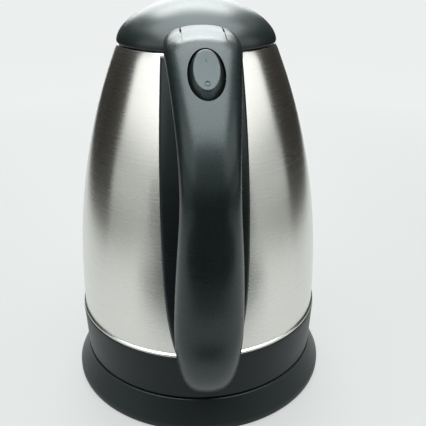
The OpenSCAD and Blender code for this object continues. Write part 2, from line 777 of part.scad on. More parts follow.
// What the back of the handle lies against: the skirt, the bead, the column and the jug's shoulder
module handle_back_space() {
    bead_out_r = body_foot_r + bead_r + fit;
    rotate_extrude() polygon(concat([[0, skirt_z - 1], [skirt_r - skirt_draft + fit, skirt_z - 1],
        [skirt_r + fit, skirt_top_z], [bead_out_r, skirt_top_z], [bead_out_r, column_low_z - fit]],
        body_side(column_t + fit, column_low_z - fit, seat_z), body_side(fit, seat_z, mouth_z),
        [[0, mouth_z]]));
    lid_clearance();
}

// Round room for the lid in front of the head
module lid_clearance() {
    translate([0, 0, mouth_z - 0.5]) cylinder(r = head_front, h = head_rise + 10);
}

// Handle, in a front shell and a back shell
module handle_outer() {
    color("#2b3336") difference() {
        handle_half(true);
        lid_clearance();
        at_well() translate([0, 0, -8]) linear_extrude(14) polygon(oval(well_w, well_l));
        at_well() for (s = [-1, 1]) translate([s * (ear_x + ear_t / 2) - ear_t / 2 - fit, -ear_w / 2 - fit,
            rocker_pin_r + ear_over + fit - rocker_pin_depth - 6])
            cube([ear_t + 2 * fit, ear_w + 2 * fit, 6]);
        for (s = [-1, 1]) translate([s * arm_pitch / 2 - arm_slot_w / 2, 0, 0]) rotate([90, 0, 90])
            linear_extrude(arm_slot_w) polygon(arm_slot);
        translate([-hinge_pin_l / 2 - fit, hinge_y, hinge_z]) rotate([0, 90, 0])
            cylinder(r = hinge_pin_r + screw_fit, h = hinge_pin_l + 2 * fit);
    }
}

module handle_inner() {
    color("#232a2c") difference() {
        handle_half(false);
        handle_back_space();
        steam_line(duct_r + fit, 4, 6);
        wire_port();
        handle_screw_hole();
        for (s = [-1, 1]) translate([s * bracket_screw_x, bracket_screw_y, seat_z - 1])
            cylinder(r = screw_r + screw_fit, h = 7.2);
    }
}

module handle_screw() {
    color("#9a9c9c") translate([0, handle_screw_y, handle_screw_z]) rotate([90, 0, 0])
        screw(handle_screw_l);
}

// Steel strap welded to the jug, with a tab under the head
bracket_w = 24;
bracket_t = 1.1;
bracket_leg = 13;
bracket_head_r = 1.9;
bracket_screw_x = 6.5;
bracket_screw_y = -body_r(seat_z) - 3.6;
bracket_tab = 5.6;
pocket_t = column_t - 1;
pocket_depth = 4;

// The room that the column leaves for the strap and its screws
module bracket_room() {
    back_layer(-1, bracket_t + 2 * fit, seat_z - bracket_leg - fit, seat_z, bracket_w + 2 * fit);
    back_layer(-1, pocket_t, seat_z - pocket_depth, seat_z, bracket_w + 2 * fit);
}

module head_bracket() {
    color("#aeb0ae") difference() {
        union() {
            back_layer(fit / 2, bracket_t, seat_z - bracket_leg, seat_z - fit, bracket_w);
            back_layer(fit / 2, bracket_tab, seat_z - fit - bracket_t, seat_z - fit, bracket_w);
        }
        steam_line(duct_r + 2 * fit, 4, 4);
        for (s = [-1, 1]) translate([s * bracket_screw_x, bracket_screw_y, 0])
            cylinder(r = screw_r + screw_fit, h = deep);
    }
}

module bracket_screws() {
    color("#9a9c9c") for (s = [-1, 1])
        translate([s * bracket_screw_x, bracket_screw_y, seat_z - fit - bracket_t]) {
            cylinder(r = screw_r, h = bracket_t + 6);
            translate([0, 0, -1.4]) cylinder(r = bracket_head_r, h = 1.4);
        }
}

module steam_duct() {
    color("#3a4042") difference() {
        steam_line(duct_r, -0.6, 0);
        steam_line(duct_bore_r, 4, 4);
        body_space(fit / 2);
    }
}

// Steam switch under the rocker
ear_x = well_w / 2 + 0.3;
ear_t = 1;
ear_w = 6;
ear_over = 0.65;
housing_z = -14.2;
post_l = 1.5;

module steam_switch() {
    color("#d8d6cc") at_well() difference() {
        union() {
            translate([-ear_x - ear_t, -12, housing_z]) cube([2 * (ear_x + ear_t), 24, 1.5]);
            for (s = [-1, 1]) {
                translate([s * (ear_x + ear_t / 2) - ear_t / 2, -ear_w / 2, housing_z])
                    cube([ear_t, ear_w, rocker_pin_r + ear_over - rocker_pin_depth - housing_z]);
                translate([0, s * 9.5, housing_z - post_l]) cylinder(r = 2, h = post_l + 1);
            }
        }
        translate([-deep / 2, 0, -rocker_pin_depth]) rotate([0, 90, 0])
            cylinder(r = rocker_pin_r + screw_fit, h = deep);
    }
}

module steam_bimetal() {
    color("#b08d57") at_well() translate([0, 0, housing_z - 0.6]) cylinder(r = 6, h = 0.5);
}

module switch_contacts() {
    color("#c9a24a") at_well() for (s = [-1, 1]) translate([-2.5, s * 9.5 - 0.8, housing_z + 1.55])
        cube([5, 1.6, 2.6]);
}

module rocker_pin() {
    color("#9a9c9c") at_well() translate([-ear_x - ear_t, 0, -rocker_pin_depth])
        rotate([0, 90, 0]) cylinder(r = rocker_pin_r, h = 2 * (ear_x + ear_t));
}

face_w = 11.6;
face_l = 21;
face_y = 2;

module rocker() {
    skirt_w = well_w - 2 * rocker_gap;
    skirt_l = well_l - 4 * rocker_gap;
    top_z = rocker_pin_depth + 0.3;
    low_z = rocker_pin_depth - rocker_deep;
    rings = [[skirt_w, skirt_l, 0, low_z], [skirt_w, skirt_l, 0, top_z - 4.2],
        [(skirt_w + face_w) / 2 + 0.8, (skirt_l + face_l) / 2 + 1, face_y / 2, top_z - 1.6],
        [face_w + 0.5, face_l + 0.5, face_y, top_z - 0.3], [face_w, face_l, face_y, top_z]];
    color("#39434a") at_rocker() difference() {
        loft([for (s = rings) [for (p = oval(s[0], s[1], s[2])) [p[0], p[1], s[3]]]]);
        translate([-deep / 2, 0, 0]) rotate([0, 90, 0])
            cylinder(r = rocker_pin_r + pin_fit, h = deep);
    }
}

tail_low = -6;
module toggle_lever() {
    color("#d8d6cc") at_rocker() translate([-2, -2.5, tail_low])
        cube([4, 5, rocker_pin_depth - rocker_deep - screw_fit - tail_low]);
}

module snap_spring() {
    mid_z = (tail_low - rocker_deep + rocker_pin_depth) / 2;
    color("#8d8f8f") at_rocker() translate([2 + screw_fit, 0, mid_z]) rotate([0, 90, 0])
        rotate_extrude(angle = 250) translate([1.5, 0]) square([0.3, 2]);
}

module hinge_pin() {
    color("#b9bab8") translate([-hinge_pin_l / 2, hinge_y, hinge_z]) rotate([0, 90, 0])
        cylinder(r = hinge_pin_r, h = hinge_pin_l);
}

// Two wires from the control unit, through the handle's foot, up to the steam switch
wire_r = 1.1;
wire_x = 2.6;
wire_sides = 8;
wire_first_ring = foot_block_ring - 5;
wire_last_ring = 10;
wire_start = [[control_r + 8 + fit, control_z + 2], [skirt_r - 21.3, wire_port_z - 4],
    [skirt_r - 8, wire_port_z], [skirt_r + 4, wire_port_z + 2]];
function wire_mid(i) = let (p = handle_point(i, 0, 0)) [-p[1], p[2]];
wire_points = concat(wire_start, [for (i = [wire_first_ring:-1:wire_last_ring]) wire_mid(i)]);

function wire_ring(i, x) =
    let (a = wire_points[max(i - 1, 0)], b = wire_points[min(i + 1, len(wire_points) - 1)],
        l = norm(b - a), n = [-(b[1] - a[1]) / l, (b[0] - a[0]) / l], p = wire_points[i])
    [for (k = [0:wire_sides - 1]) let (c = 360 * k / wire_sides, s = wire_r * sin(c))
        [x - wire_r * cos(c), -(p[0] + n[0] * s), p[1] + n[1] * s]];

module switch_wires() {
    color("#a03028") for (x = [-wire_x, wire_x])
        loft([for (i = [0:len(wire_points) - 1]) wire_ring(i, x)]);
}

// Lid
lid_screw_ring = 25;
lid_dish_z = mouth_z - 3.5;
dish_r = body_mouth_r - 2 * lip_r - 2.4;
function dome(r, h, z0, e, steps = 20) =
    [for (i = [0:steps]) let (a = 90 * i / steps)
        [r * pow(cos(a), 2 / e), z0 + h * pow(sin(a), 2 / e)]];

module lid_space(d) {
    rotate_extrude() polygon(concat([[0, mouth_z + lid_gap]],
        [for (a = [90:-15:15]) [lid_r - d - 1.3 * lid_roll * (1 - cos(a)), lid_z - lid_roll * sin(a)]],
        dome(lid_r - d, lid_dome_h - d, lid_z, lid_power), [[0, lid_z]]));
}

module arm_slots() {
    for (s = [-1, 1]) translate([s * arm_pitch / 2 - arm_slot_w / 2, -lid_r - 1, hinge_z - 6.5])
        cube([arm_slot_w, 12, 5.6]);
}

tab_w = 18;
tab_reach = 7;
module lid_cover() {
    color("#2b3336") difference() {
        union() {
            lid_space(0);
            intersection() {
                translate([0, 0, mouth_z + lid_gap + 0.4]) cylinder(r = lid_r + tab_reach, h = 2.4);
                translate([-tab_w / 2, 0, 0]) cube([tab_w, deep, deep]);
            }
        }
        difference() {
            lid_space(lid_wall);
            thrice(lid_screw_ring, 90) translate([0, 0, mouth_z])
                cylinder(r = boss_r - 0.4, h = 40);
        }
        translate([0, 0, mouth_z - 5]) cylinder(r = dish_r + 1.4, h = 5 + lid_gap + 0.7);
        thrice(lid_screw_ring, 90) translate([0, 0, mouth_z]) cylinder(r = screw_r + screw_fit, h = 9);
        arm_slots();
    }
}

dish_t = 0.6;
module lid_inner() {
    flange_z = mouth_z + lid_gap + 0.05;
    color("#b9bab8") difference() {
        rotate_extrude() polygon([[0, lid_dish_z], [dish_r - 2, lid_dish_z], [dish_r, lid_dish_z + 2],
            [dish_r, flange_z], [dish_r + 1.2, flange_z], [dish_r + 1.2, flange_z + dish_t],
            [dish_r - dish_t, flange_z + dish_t], [dish_r - dish_t, lid_dish_z + 2 + dish_t / 2],
            [dish_r - 2 - dish_t / 2, lid_dish_z + dish_t], [0, lid_dish_z + dish_t]]);
        thrice(lid_screw_ring, 90) translate([0, 0, lid_dish_z - 1])
            cylinder(r = screw_r + screw_fit, h = 3);
        thrice(12) translate([0, 0, lid_dish_z - 1]) cylinder(r = 1.5, h = 3);
    }
}

module lid_screws() {
    color("#9a9c9c") thrice(lid_screw_ring, 90) translate([0, 0, lid_dish_z]) screw(9);
}

// Two thin arms joined by a plate inside the lid
module hinge_arms() {
    plate_y = -lid_r + 9;
    plate_l = 14;
    arm_low_z = mouth_z + lid_gap + 1.4;
    color("#2b3336") difference() {
        union() {
            for (s = [-1, 1]) translate([s * arm_pitch / 2 - arm_t / 2, 0, 0]) rotate([90, 0, 90])
                linear_extrude(arm_t) union() {
                    translate([hinge_y, hinge_z]) circle(r = hinge_eye_r);
                    polygon(arm_cap);
                    polygon([[hinge_y, hinge_z - hinge_eye_r], [plate_y, arm_low_z],
                        [plate_y + plate_l, arm_low_z], [plate_y + plate_l, arm_low_z + 3],
                        [plate_y, hinge_z - 3.5], [hinge_y, hinge_z + hinge_eye_r]]);
                }
            translate([-arm_pitch / 2, plate_y, arm_low_z]) cube([arm_pitch, plate_l, 0.8]);
        }
        translate([-deep / 2, hinge_y, hinge_z]) rotate([0, 90, 0])
            cylinder(r = hinge_pin_r + pin_fit, h = deep);
    }
}

base_top();
base_bottom();
foot_ring();
base_socket();
socket_contacts();
base_screws();
cord_gland();
kettle_plug();
plug_contacts();
body_shell();
spout();
heater_plate();
heat_spreader();
heating_element();
control_unit();
boil_dry_discs();
skirt();
bottom_cover();
cover_screws();
gauge_column();
water_gauge();
gauge_seals();
handle_outer();
handle_inner();
handle_screw();
head_bracket();
bracket_screws();
steam_duct();
steam_switch();
steam_bimetal();
switch_contacts();
rocker_pin();
hinge_pin();
switch_wires();
rocker();
toggle_lever();
snap_spring();
lid_cover();
lid_inner();
hinge_arms();
lid_screws();
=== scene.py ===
"""Looks of the cordless kettle: brushed steel jug, black handle, lid and swivel power base."""
import json
import math
import bmesh
import bpy
from mathutils import Matrix, Vector


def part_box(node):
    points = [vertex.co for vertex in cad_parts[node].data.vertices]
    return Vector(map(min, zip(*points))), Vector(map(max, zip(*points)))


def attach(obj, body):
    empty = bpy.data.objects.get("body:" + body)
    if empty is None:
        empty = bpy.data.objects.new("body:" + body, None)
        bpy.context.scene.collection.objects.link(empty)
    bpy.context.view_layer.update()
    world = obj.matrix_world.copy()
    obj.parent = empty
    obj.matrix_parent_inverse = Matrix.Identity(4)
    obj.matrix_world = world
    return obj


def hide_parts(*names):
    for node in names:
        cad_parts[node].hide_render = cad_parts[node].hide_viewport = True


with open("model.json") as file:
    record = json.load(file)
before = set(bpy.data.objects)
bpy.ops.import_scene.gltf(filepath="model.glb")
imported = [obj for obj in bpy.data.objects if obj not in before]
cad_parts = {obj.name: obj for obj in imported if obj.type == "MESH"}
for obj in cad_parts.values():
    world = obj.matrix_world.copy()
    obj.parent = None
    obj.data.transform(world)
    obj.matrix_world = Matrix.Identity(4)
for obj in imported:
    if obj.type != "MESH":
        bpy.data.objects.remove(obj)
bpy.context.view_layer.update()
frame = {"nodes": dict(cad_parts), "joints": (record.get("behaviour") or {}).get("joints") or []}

MM = 0.001
SPAN = math.pi / 180


# ---------------------------------------------------------------- sizes of the kettle, in millimetres

LOW, HIGH = 0, 1
JOINT_PLACES = {joint["name"]: joint.get("pos_m") for joint in frame["joints"]}


def end_of(node, side, axis):
    """Where a CAD node ends along an axis."""
    return round(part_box(node)[side]["XYZ".index(axis)] / MM, 2)


# Power base and its connector
BASE_R = end_of("base_top", HIGH, "X")
BASE_FLARE = 6.2
BASE_FOOT = end_of("base_top", LOW, "Z")
LIP_TOP = BASE_FOOT + 3.0
BASE_TOP = end_of("base_top", HIGH, "Z")
BASE_SKIN = 2.4
BASE_EDGE = 0.8
INLET_R, INLET_Z = 5.1, 9.8
TOWER_R, TOWER_TOP = 17.5, end_of("base_socket", HIGH, "Z")
PIN_BORE = 3.35
RING_SLOT = (8.2, 11.0)
RING_FLOOR = 20.0
CUP_GAP, CUP_WALL, CUP_TOP = 0.4, 2.8, end_of("kettle_plug", HIGH, "Z")

# Jug: its steel side, bead, lip, floor and skirt
FOOT_R, MOUTH_R = 73.4, 44.0
BEAD_R = 1.0
BODY_FOOT = end_of("body_shell", LOW, "Z") + BEAD_R
BODY_RISE = 158.0
MOUTH = BODY_FOOT + BODY_RISE
BELLY = 2.3
SHEET = 0.6
LIP_R = 0.9
FLOOR_TOP = end_of("heater_plate", HIGH, "Z")
FLOOR_SHEET = 0.8
SKIRT_FOOT, SKIRT_TOP = end_of("skirt", LOW, "Z"), end_of("skirt", HIGH, "Z")
SKIRT_ROLL_TOP = SKIRT_FOOT + 1.56
SKIRT_PROUD = 1.2
SKIRT_WALL = 2.4

# Holes in the jug
STRAINER_ROWS, STRAINER_COLUMNS = 4, 5
STRAINER_PITCH, STRAINER_R, STRAINER_Z = 5.2, 1.6, 181.0
GAUGE_PORTS, GAUGE_PORT_R = (72.5, 175.5), 3.25
STEAM_PORT_Z, STEAM_PORT_R = 196.0, 2.0

# Spout
SPOUT_FOOT, SPOUT_RISE = end_of("spout", LOW, "Z"), 44.0
SPOUT_TIP = end_of("spout", HIGH, "Y")
SPOUT_HALF_LOW, SPOUT_HALF_GROWTH = 4.0, 17.0
SPOUT_SHEET = 0.8

# Column that holds the water gauge
COLUMN_DEEP = 7.0
COLUMN_FOOT, COLUMN_TOP = end_of("gauge_column", LOW, "Z"), end_of("gauge_column", HIGH, "Z")
COLUMN_MID = 124.5
COLUMN_HALF, COLUMN_TOP_LOSS, COLUMN_FOOT_LOSS = 22.7, 2.7, 6.7
COLUMN_CORNER = 1.6
WINDOW_LOW, WINDOW_HIGH, WINDOW_HALF = 65.4, 182.6, 5.2
HEAD_ROOM_HALF, HEAD_ROOM_FOOT = 15.5, 201.1

# Handle
HEAD_FRONT, HEAD_TOP = MOUTH_R + 0.6, end_of("handle_outer", HIGH, "Z")
HEAD_HALF, HEAD_THICK = 18.6, 18.0
HAND_GAP = 24.3
GRIP_HALF, GRIP_THICK = 13.5, 20.0
REACH_Z = 146.0
LOW_HALF = 17.4
TURN_Z, TIP_Z = 80.0, 31.0
FOOT_ROOT, FOOT_INNER = 76.3, 71.8
FOOT_TAPER = 0.45
SECTION_POWER = 2 / 2.2
SEAT, HEAD_FOOT = 201.2, 206.0

# Rocker and its well: the pin's place in metres, the head's slope and the rocker's tilt in degrees
ROCKER_PIN = Vector(JOINT_PLACES["rocker_switch"])
WELL_SLOPE, ROCKER_TILT = 40.9973, 6.0
WELL_WIDTH, WELL_LENGTH = 16.9, 28.5
ROCKER_DEPTH = 5.6
KEY_TOP = ROCKER_DEPTH + 0.3
KEY_SIDES = 72

# Lid and its hinge arms
LID_R = MOUTH_R
LID_POWER = 1.75
LID_WALL = 2.2
LID_ROLL, LID_ROLL_WIDTH = 1.6, 2.08
LID_FOOT, LID_TOP = end_of("lid_cover", LOW, "Z"), end_of("lid_cover", HIGH, "Z")
LID_EDGE = LID_FOOT + LID_ROLL
LID_RISE = LID_TOP - LID_EDGE
HINGE_Y, HINGE_Z = [v / MM for v in JOINT_PLACES["lid_hinge"][1:]]
ARM_OUT, ARM_SLOT_HALF = 10.15, 0.45
ARM_SLOT_REACH = 3.9
TAB_HALF, TAB_REACH, TAB_THICK = 9.0, 7.0, 2.4
DISH_FLOOR, DISH_SHEET = end_of("lid_inner", LOW, "Z"), 0.6

# Radius at which a lathe outline closes at the axis: of a piece, and of a cutter
AXIS = 0.02
CORE = 0.5

# Clearance between the handle and what it is fitted to
FIT = 0.1


def body_radius(z):
    """Outer radius of the steel jug at a height."""
    return FOOT_R - (FOOT_R - MOUTH_R) * max(0.0, (z - BODY_FOOT) / BODY_RISE) ** BELLY


def levels(low, high, count):
    """Evenly spaced heights from low to high."""
    return [low + (high - low) * k / count for k in range(count + 1)]


def jug_side(offset, low, high, count):
    """Outline of the jug's side moved outwards, between two heights."""
    return [(body_radius(z) + offset, z) for z in levels(low, high, count)]


# ---------------------------------------------------------------- bench tools

def nothing_selected():
    if bpy.context.mode != "OBJECT":
        bpy.ops.object.mode_set(mode="OBJECT")
    bpy.ops.object.select_all(action="DESELECT")


def work_on(piece):
    nothing_selected()
    bpy.context.view_layer.objects.active = piece
    piece.select_set(True)


def just_made(name):
    piece = bpy.context.object
    piece.name = name
    piece.data.name = name
    return piece


def settle(piece):
    """Puts the place and turn of a piece into its mesh."""
    work_on(piece)
    bpy.ops.object.transform_apply(location=True, rotation=True, scale=True)


def clean_skin(piece, gap=0.00002):
    """Merges doubles and turns every face outwards."""
    work_on(piece)
    bpy.ops.object.mode_set(mode="EDIT")
    bpy.ops.mesh.select_all(action="SELECT")
    bpy.ops.mesh.remove_doubles(threshold=gap)
    bpy.ops.mesh.normals_make_consistent(inside=False)
    bpy.ops.object.mode_set(mode="OBJECT")


def smooth(piece, degrees=32):
    work_on(piece)
    bpy.ops.object.shade_smooth_by_angle(angle=degrees * SPAN)


def turned(name, outline, sides=160):
    """Lathe work: a ring extruded and resized from point to point of an outline of (radius, height)."""
    nothing_selected()
    r, z = outline[0]
    bpy.ops.mesh.primitive_circle_add(vertices=sides, radius=r * MM, location=(0, 0, z * MM))
    piece = just_made(name)
    settle(piece)
    bpy.ops.object.mode_set(mode="EDIT")
    bpy.ops.mesh.select_all(action="SELECT")
    for r2, z2 in outline[1:] + [outline[0]]:
        bpy.ops.mesh.extrude_region_move(TRANSFORM_OT_translate={"value": (0, 0, (z2 - z) * MM)})
        bpy.ops.transform.resize(value=(r2 / r, r2 / r, 1), center_override=(0, 0, z2 * MM))
        r, z = r2, z2
    bpy.ops.object.mode_set(mode="OBJECT")
    clean_skin(piece)
    return piece


def pulled_grid(name, rows):
    """A grid of quads, each point pulled to its place: rows of points in millimetres."""
    nothing_selected()
    across = len(rows[0])
    bpy.ops.mesh.primitive_grid_add(x_subdivisions=across - 1, y_subdivisions=len(rows) - 1, size=1)
    piece = just_made(name)
    for j, row in enumerate(rows):
        for i, point in enumerate(row):
            piece.data.vertices[j * across + i].co = Vector(point) * MM
    return piece


def close_ends(piece):
    """Caps the open rims of a tube."""
    work_on(piece)
    bpy.ops.object.mode_set(mode="EDIT")
    bpy.ops.mesh.select_all(action="SELECT")
    bpy.ops.mesh.remove_doubles(threshold=0.00002)
    bpy.ops.mesh.select_all(action="DESELECT")
    bpy.ops.mesh.select_non_manifold()
    bpy.ops.mesh.edge_face_add()
    bpy.ops.mesh.select_all(action="SELECT")
    bpy.ops.mesh.normals_make_consistent(inside=False)
    bpy.ops.object.mode_set(mode="OBJECT")


def finish_with(piece, kind, **settings):
    """Adds one modifier and applies it."""
    work_on(piece)
    mod = piece.modifiers.new(kind.lower(), kind)
    for key, value in settings.items():
        setattr(mod, key, value)
    bpy.ops.object.modifier_apply(modifier=mod.name)


def rounded(piece, width, segments=3, degrees=40):
    finish_with(piece, "BEVEL", width=width * MM, segments=segments, limit_method="ANGLE",
                angle_limit=degrees * SPAN, harden_normals=False)


def cut(piece, tool, operation="DIFFERENCE"):
    """Takes a tool out of a piece, or keeps only what both share, and throws the tool away."""
    finish_with(piece, "BOOLEAN", operation=operation, solver="EXACT", object=tool)
    bpy.data.objects.remove(tool)


def block(name, low, high):
    """A rectangular block between two corners, in millimetres."""
    nothing_selected()
    middle = [(a + b) / 2 * MM for a, b in zip(low, high)]
    bpy.ops.mesh.primitive_cube_add(size=1, location=middle)
    piece = just_made(name)
    piece.scale = [(b - a) * MM for a, b in zip(low, high)]
    settle(piece)
    return piece


def peg(name, start, end, radius, sides=24):
    """A round peg from one point to another, in millimetres."""
    nothing_selected()
    a, b = Vector(start) * MM, Vector(end) * MM
    bpy.ops.mesh.primitive_cylinder_add(vertices=sides, radius=radius * MM, depth=(b - a).length,
                                        location=(a + b) / 2,
                                        rotation=(b - a).to_track_quat("Z", "Y").to_euler())
    piece = just_made(name)
    settle(piece)
    return piece


def joined(pieces):
    nothing_selected()
    for piece in pieces:
        piece.select_set(True)
    bpy.context.view_layer.objects.active = pieces[0]
    bpy.ops.object.join()
    return pieces[0]


def arc(cx, cz, r, start, end, steps=6):
    """Points of a rounding in an outline: centre, radius, first and last angle in degrees."""
    return [(cx + r * math.cos((start + (end - start) * k / steps) * SPAN),
             cz + r * math.sin((start + (end - start) * k / steps) * SPAN)) for k in range(steps + 1)]


def groove(middle, half, slope, top, depth):
    """Outline of a shallow ring groove, from outside inwards. A negative depth makes a ridge."""
    return [(middle + half, top), (middle + half - slope, top - depth),
            (middle - half + slope, top - depth), (middle - half, top)]


# ---------------------------------------------------------------- finishes

def blank_finish(name):
    finish = bpy.data.materials.new(name)
    finish.use_nodes = True
    tree = finish.node_tree
    shader = tree.nodes["Principled BSDF"]
    place = tree.nodes.new("ShaderNodeTexCoord")
    return finish, tree, shader, place.outputs["Object"]


def stretched(tree, place, scale):
    mapping = tree.nodes.new("ShaderNodeMapping")
    mapping.inputs["Scale"].default_value = scale
    tree.links.new(place, mapping.inputs["Vector"])
    return mapping.outputs["Vector"]


def grain(tree, where, scale, detail=3.0, rough=0.55):
    noise = tree.nodes.new("ShaderNodeTexNoise")
    noise.inputs["Scale"].default_value = scale
    noise.inputs["Detail"].default_value = detail
    noise.inputs["Roughness"].default_value = rough
    tree.links.new(where, noise.inputs["Vector"])
    return noise.outputs["Fac"]


def between(tree, value, low, high, from_low=0.3, from_high=0.7):
    span = tree.nodes.new("ShaderNodeMapRange")
    span.inputs["From Min"].default_value = from_low
    span.inputs["From Max"].default_value = from_high
    span.inputs["To Min"].default_value = low
    span.inputs["To Max"].default_value = high
    tree.links.new(value, span.inputs["Value"])
    return span.outputs["Result"]


def tinted(tree, value, dark, light):
    mix = tree.nodes.new("ShaderNodeMix")
    mix.data_type = "RGBA"
    mix.inputs["A"].default_value = (*dark, 1)
    mix.inputs["B"].default_value = (*light, 1)
    tree.links.new(value, mix.inputs["Factor"])
    return mix.outputs["Result"]


def arithmetic(tree, operation, first, second):
    node = tree.nodes.new("ShaderNodeMath")
    node.operation = operation
    tree.links.new(first, node.inputs[0])
    tree.links.new(second, node.inputs[1])
    return node.outputs["Value"]


def relief(tree, shader, height, strength, depth):
    bump = tree.nodes.new("ShaderNodeBump")
    bump.inputs["Strength"].default_value = strength
    bump.inputs["Distance"].default_value = depth
    tree.links.new(height, bump.inputs["Height"])
    tree.links.new(bump.outputs["Normal"], shader.inputs["Normal"])


def moulded_plastic(name, colour, rough=0.36, level=0.5):
    """Satin moulded plastic: fine spark-eroded grain, slight clouding and handling marks."""
    finish, tree, shader, place = blank_finish(name)
    cloud = grain(tree, place, 38, 4)
    fine = grain(tree, place, 1900, 2)
    wipes = grain(tree, stretched(tree, place, (30, 30, 260)), 1.0, 3)
    dark = [c * 0.9 for c in colour]
    light = [c * 1.1 for c in colour]
    tree.links.new(tinted(tree, between(tree, cloud, 0, 1), dark, light), shader.inputs["Base Color"])
    gloss = arithmetic(tree, "ADD", between(tree, fine, rough - 0.05, rough + 0.05),
                       between(tree, wipes, -0.02, 0.02))
    tree.links.new(gloss, shader.inputs["Roughness"])
    shader.inputs["Specular IOR Level"].default_value = level
    shader.inputs["Specular Tint"].default_value = (0.88, 1.0, 1.0, 1)
    relief(tree, shader, fine, 0.35, 0.00002)
    return finish


def brushed_metal(name, colour, lines=(22, 22, 6500), rough=(0.255, 0.275), turn=0.7):
    """Sheet metal brushed round the axis: fine level scratches and a stretched shine."""
    finish, tree, shader, place = blank_finish(name)
    scratches = grain(tree, stretched(tree, place, lines), 1.0, 5, 0.7)
    bands = grain(tree, stretched(tree, place, [v * 0.12 for v in lines]), 1.0, 3)
    dark = [c * 0.98 for c in colour]
    tree.links.new(tinted(tree, between(tree, scratches, 0, 1), dark, colour), shader.inputs["Base Color"])
    gloss = arithmetic(tree, "ADD", between(tree, scratches, *rough), between(tree, bands, -0.01, 0.01))
    tree.links.new(gloss, shader.inputs["Roughness"])
    shader.inputs["Metallic"].default_value = 1
    if turn:
        shader.inputs["Anisotropic"].default_value = turn
        shader.inputs["Anisotropic Rotation"].default_value = 0.25
        tangent = tree.nodes.new("ShaderNodeTangent")
        tangent.direction_type = "RADIAL"
        tangent.axis = "Z"
        tree.links.new(tangent.outputs["Tangent"], shader.inputs["Tangent"])
    relief(tree, shader, scratches, 0.025, 0.000003)
    return finish


def plain_metal(name, colour, rough=0.28, scale=420, depth=0.00001):
    """Drawn, plated or cast metal with fine mottling."""
    finish, tree, shader, place = blank_finish(name)
    mottle = grain(tree, place, scale, 5, 0.65)
    broad = grain(tree, place, scale * 0.08, 3)
    dark = [c * 0.82 for c in colour]
    tree.links.new(tinted(tree, between(tree, broad, 0, 1), dark, colour), shader.inputs["Base Color"])
    tree.links.new(between(tree, mottle, rough - 0.07, rough + 0.09), shader.inputs["Roughness"])
    shader.inputs["Metallic"].default_value = 1
    relief(tree, shader, mottle, 0.4, depth)
    return finish


def soft_rubber(name, colour, rough=0.75):
    """Rubber or silicone: a matt skin with a little dust."""
    finish, tree, shader, place = blank_finish(name)
    dust = grain(tree, place, 90, 5, 0.7)
    skin = grain(tree, place, 2600, 2)
    light = [c + 0.03 for c in colour]
    tree.links.new(tinted(tree, between(tree, dust, 0, 1, 0.45, 0.8), colour, light),
                   shader.inputs["Base Color"])
    tree.links.new(between(tree, skin, rough - 0.08, rough + 0.1), shader.inputs["Roughness"])
    relief(tree, shader, skin, 0.5, 0.00004)
    return finish


def clear_plastic(name):
    """Clear moulded plastic with faint flow lines."""
    finish, tree, shader, place = blank_finish(name)
    flow = grain(tree, stretched(tree, place, (300, 300, 40)), 1.0, 2)
    tree.links.new(tinted(tree, between(tree, flow, 0, 1), (0.86, 0.9, 0.91), (0.93, 0.96, 0.97)),
                   shader.inputs["Base Color"])
    tree.links.new(between(tree, flow, 0.03, 0.1), shader.inputs["Roughness"])
    shader.inputs["Transmission Weight"].default_value = 1
    shader.inputs["IOR"].default_value = 1.49
    relief(tree, shader, flow, 0.15, 0.00005)
    return finish


HANDLE_BLACK = moulded_plastic("handle_satin", (0.0060, 0.0095, 0.0098), rough=0.30)
GRIP_BACK = moulded_plastic("handle_back_satin", (0.0055, 0.0085, 0.0088), rough=0.34)
LID_BLACK = moulded_plastic("lid_satin", (0.0070, 0.0105, 0.0108), rough=0.33)
BASE_BLACK = moulded_plastic("base_satin", (0.0042, 0.0060, 0.0060), rough=0.40, level=0.4)
SKIRT_BLACK = moulded_plastic("skirt_satin", (0.0034, 0.0055, 0.0054), rough=0.40, level=0.3)
COLUMN_BLACK = moulded_plastic("column_satin", (0.0045, 0.0065, 0.0066), rough=0.30, level=0.4)
ROCKER_GREY = moulded_plastic("rocker_satin", (0.020, 0.027, 0.030), rough=0.30)
# Darker copy of the rocker's plastic for the key's flanks: painted shade for the dark ring round the key
ROCKER_FLANK_PAINTED_SHADE = moulded_plastic("rocker_flank_painted_shade", (0.0050, 0.0078, 0.0082), rough=0.34)
MARK_GREY = moulded_plastic("mark_satin", (0.024, 0.032, 0.035), rough=0.38)
# Hinge arms coated black, and also made darker and duller than the handle so the arms filling the slots
# read as dark slits: partly painted shade
ARM_COATING_AND_SLOT_SHADE = moulded_plastic("coated_arm_and_slot_shade", (0.0020, 0.0030, 0.0031), rough=0.6, level=0.12)
IVORY = moulded_plastic("heatproof_ivory", (0.68, 0.66, 0.6), rough=0.5)
JUG_STEEL = brushed_metal("jug_brushed_steel", (0.775, 0.772, 0.728))
SPOUT_STEEL = brushed_metal("spout_brushed_steel", (0.78, 0.78, 0.76), rough=(0.24, 0.30), turn=0.4)
INNER_STEEL = brushed_metal("plain_steel", (0.66, 0.66, 0.65), lines=(40, 40, 700),
                            rough=(0.22, 0.36), turn=0)
# Rocker pin made nearly black so that its ends in the gap round the key show dark: painted shade
PIN_GAP_PAINTED_SHADE = plain_metal("pin_painted_shade", (0.05, 0.052, 0.055), 0.45)
SCREW_STEEL = plain_metal("zinc_screw", (0.56, 0.56, 0.55), 0.32)
CAST_METAL = plain_metal("cast_aluminium", (0.6, 0.62, 0.63), 0.5, 260, 0.00003)
BRASS = plain_metal("contact_brass", (0.72, 0.53, 0.22), 0.26)
BIMETAL = plain_metal("bimetal_strip", (0.6, 0.44, 0.28), 0.34)
FOOT_RUBBER = soft_rubber("foot_rubber", (0.022, 0.023, 0.024))
SEAL_RUBBER = soft_rubber("seal_silicone", (0.62, 0.59, 0.55), 0.6)
WIRE_RED = soft_rubber("wire_silicone", (0.42, 0.06, 0.045), 0.5)
GAUGE_CLEAR = clear_plastic("gauge_clear")

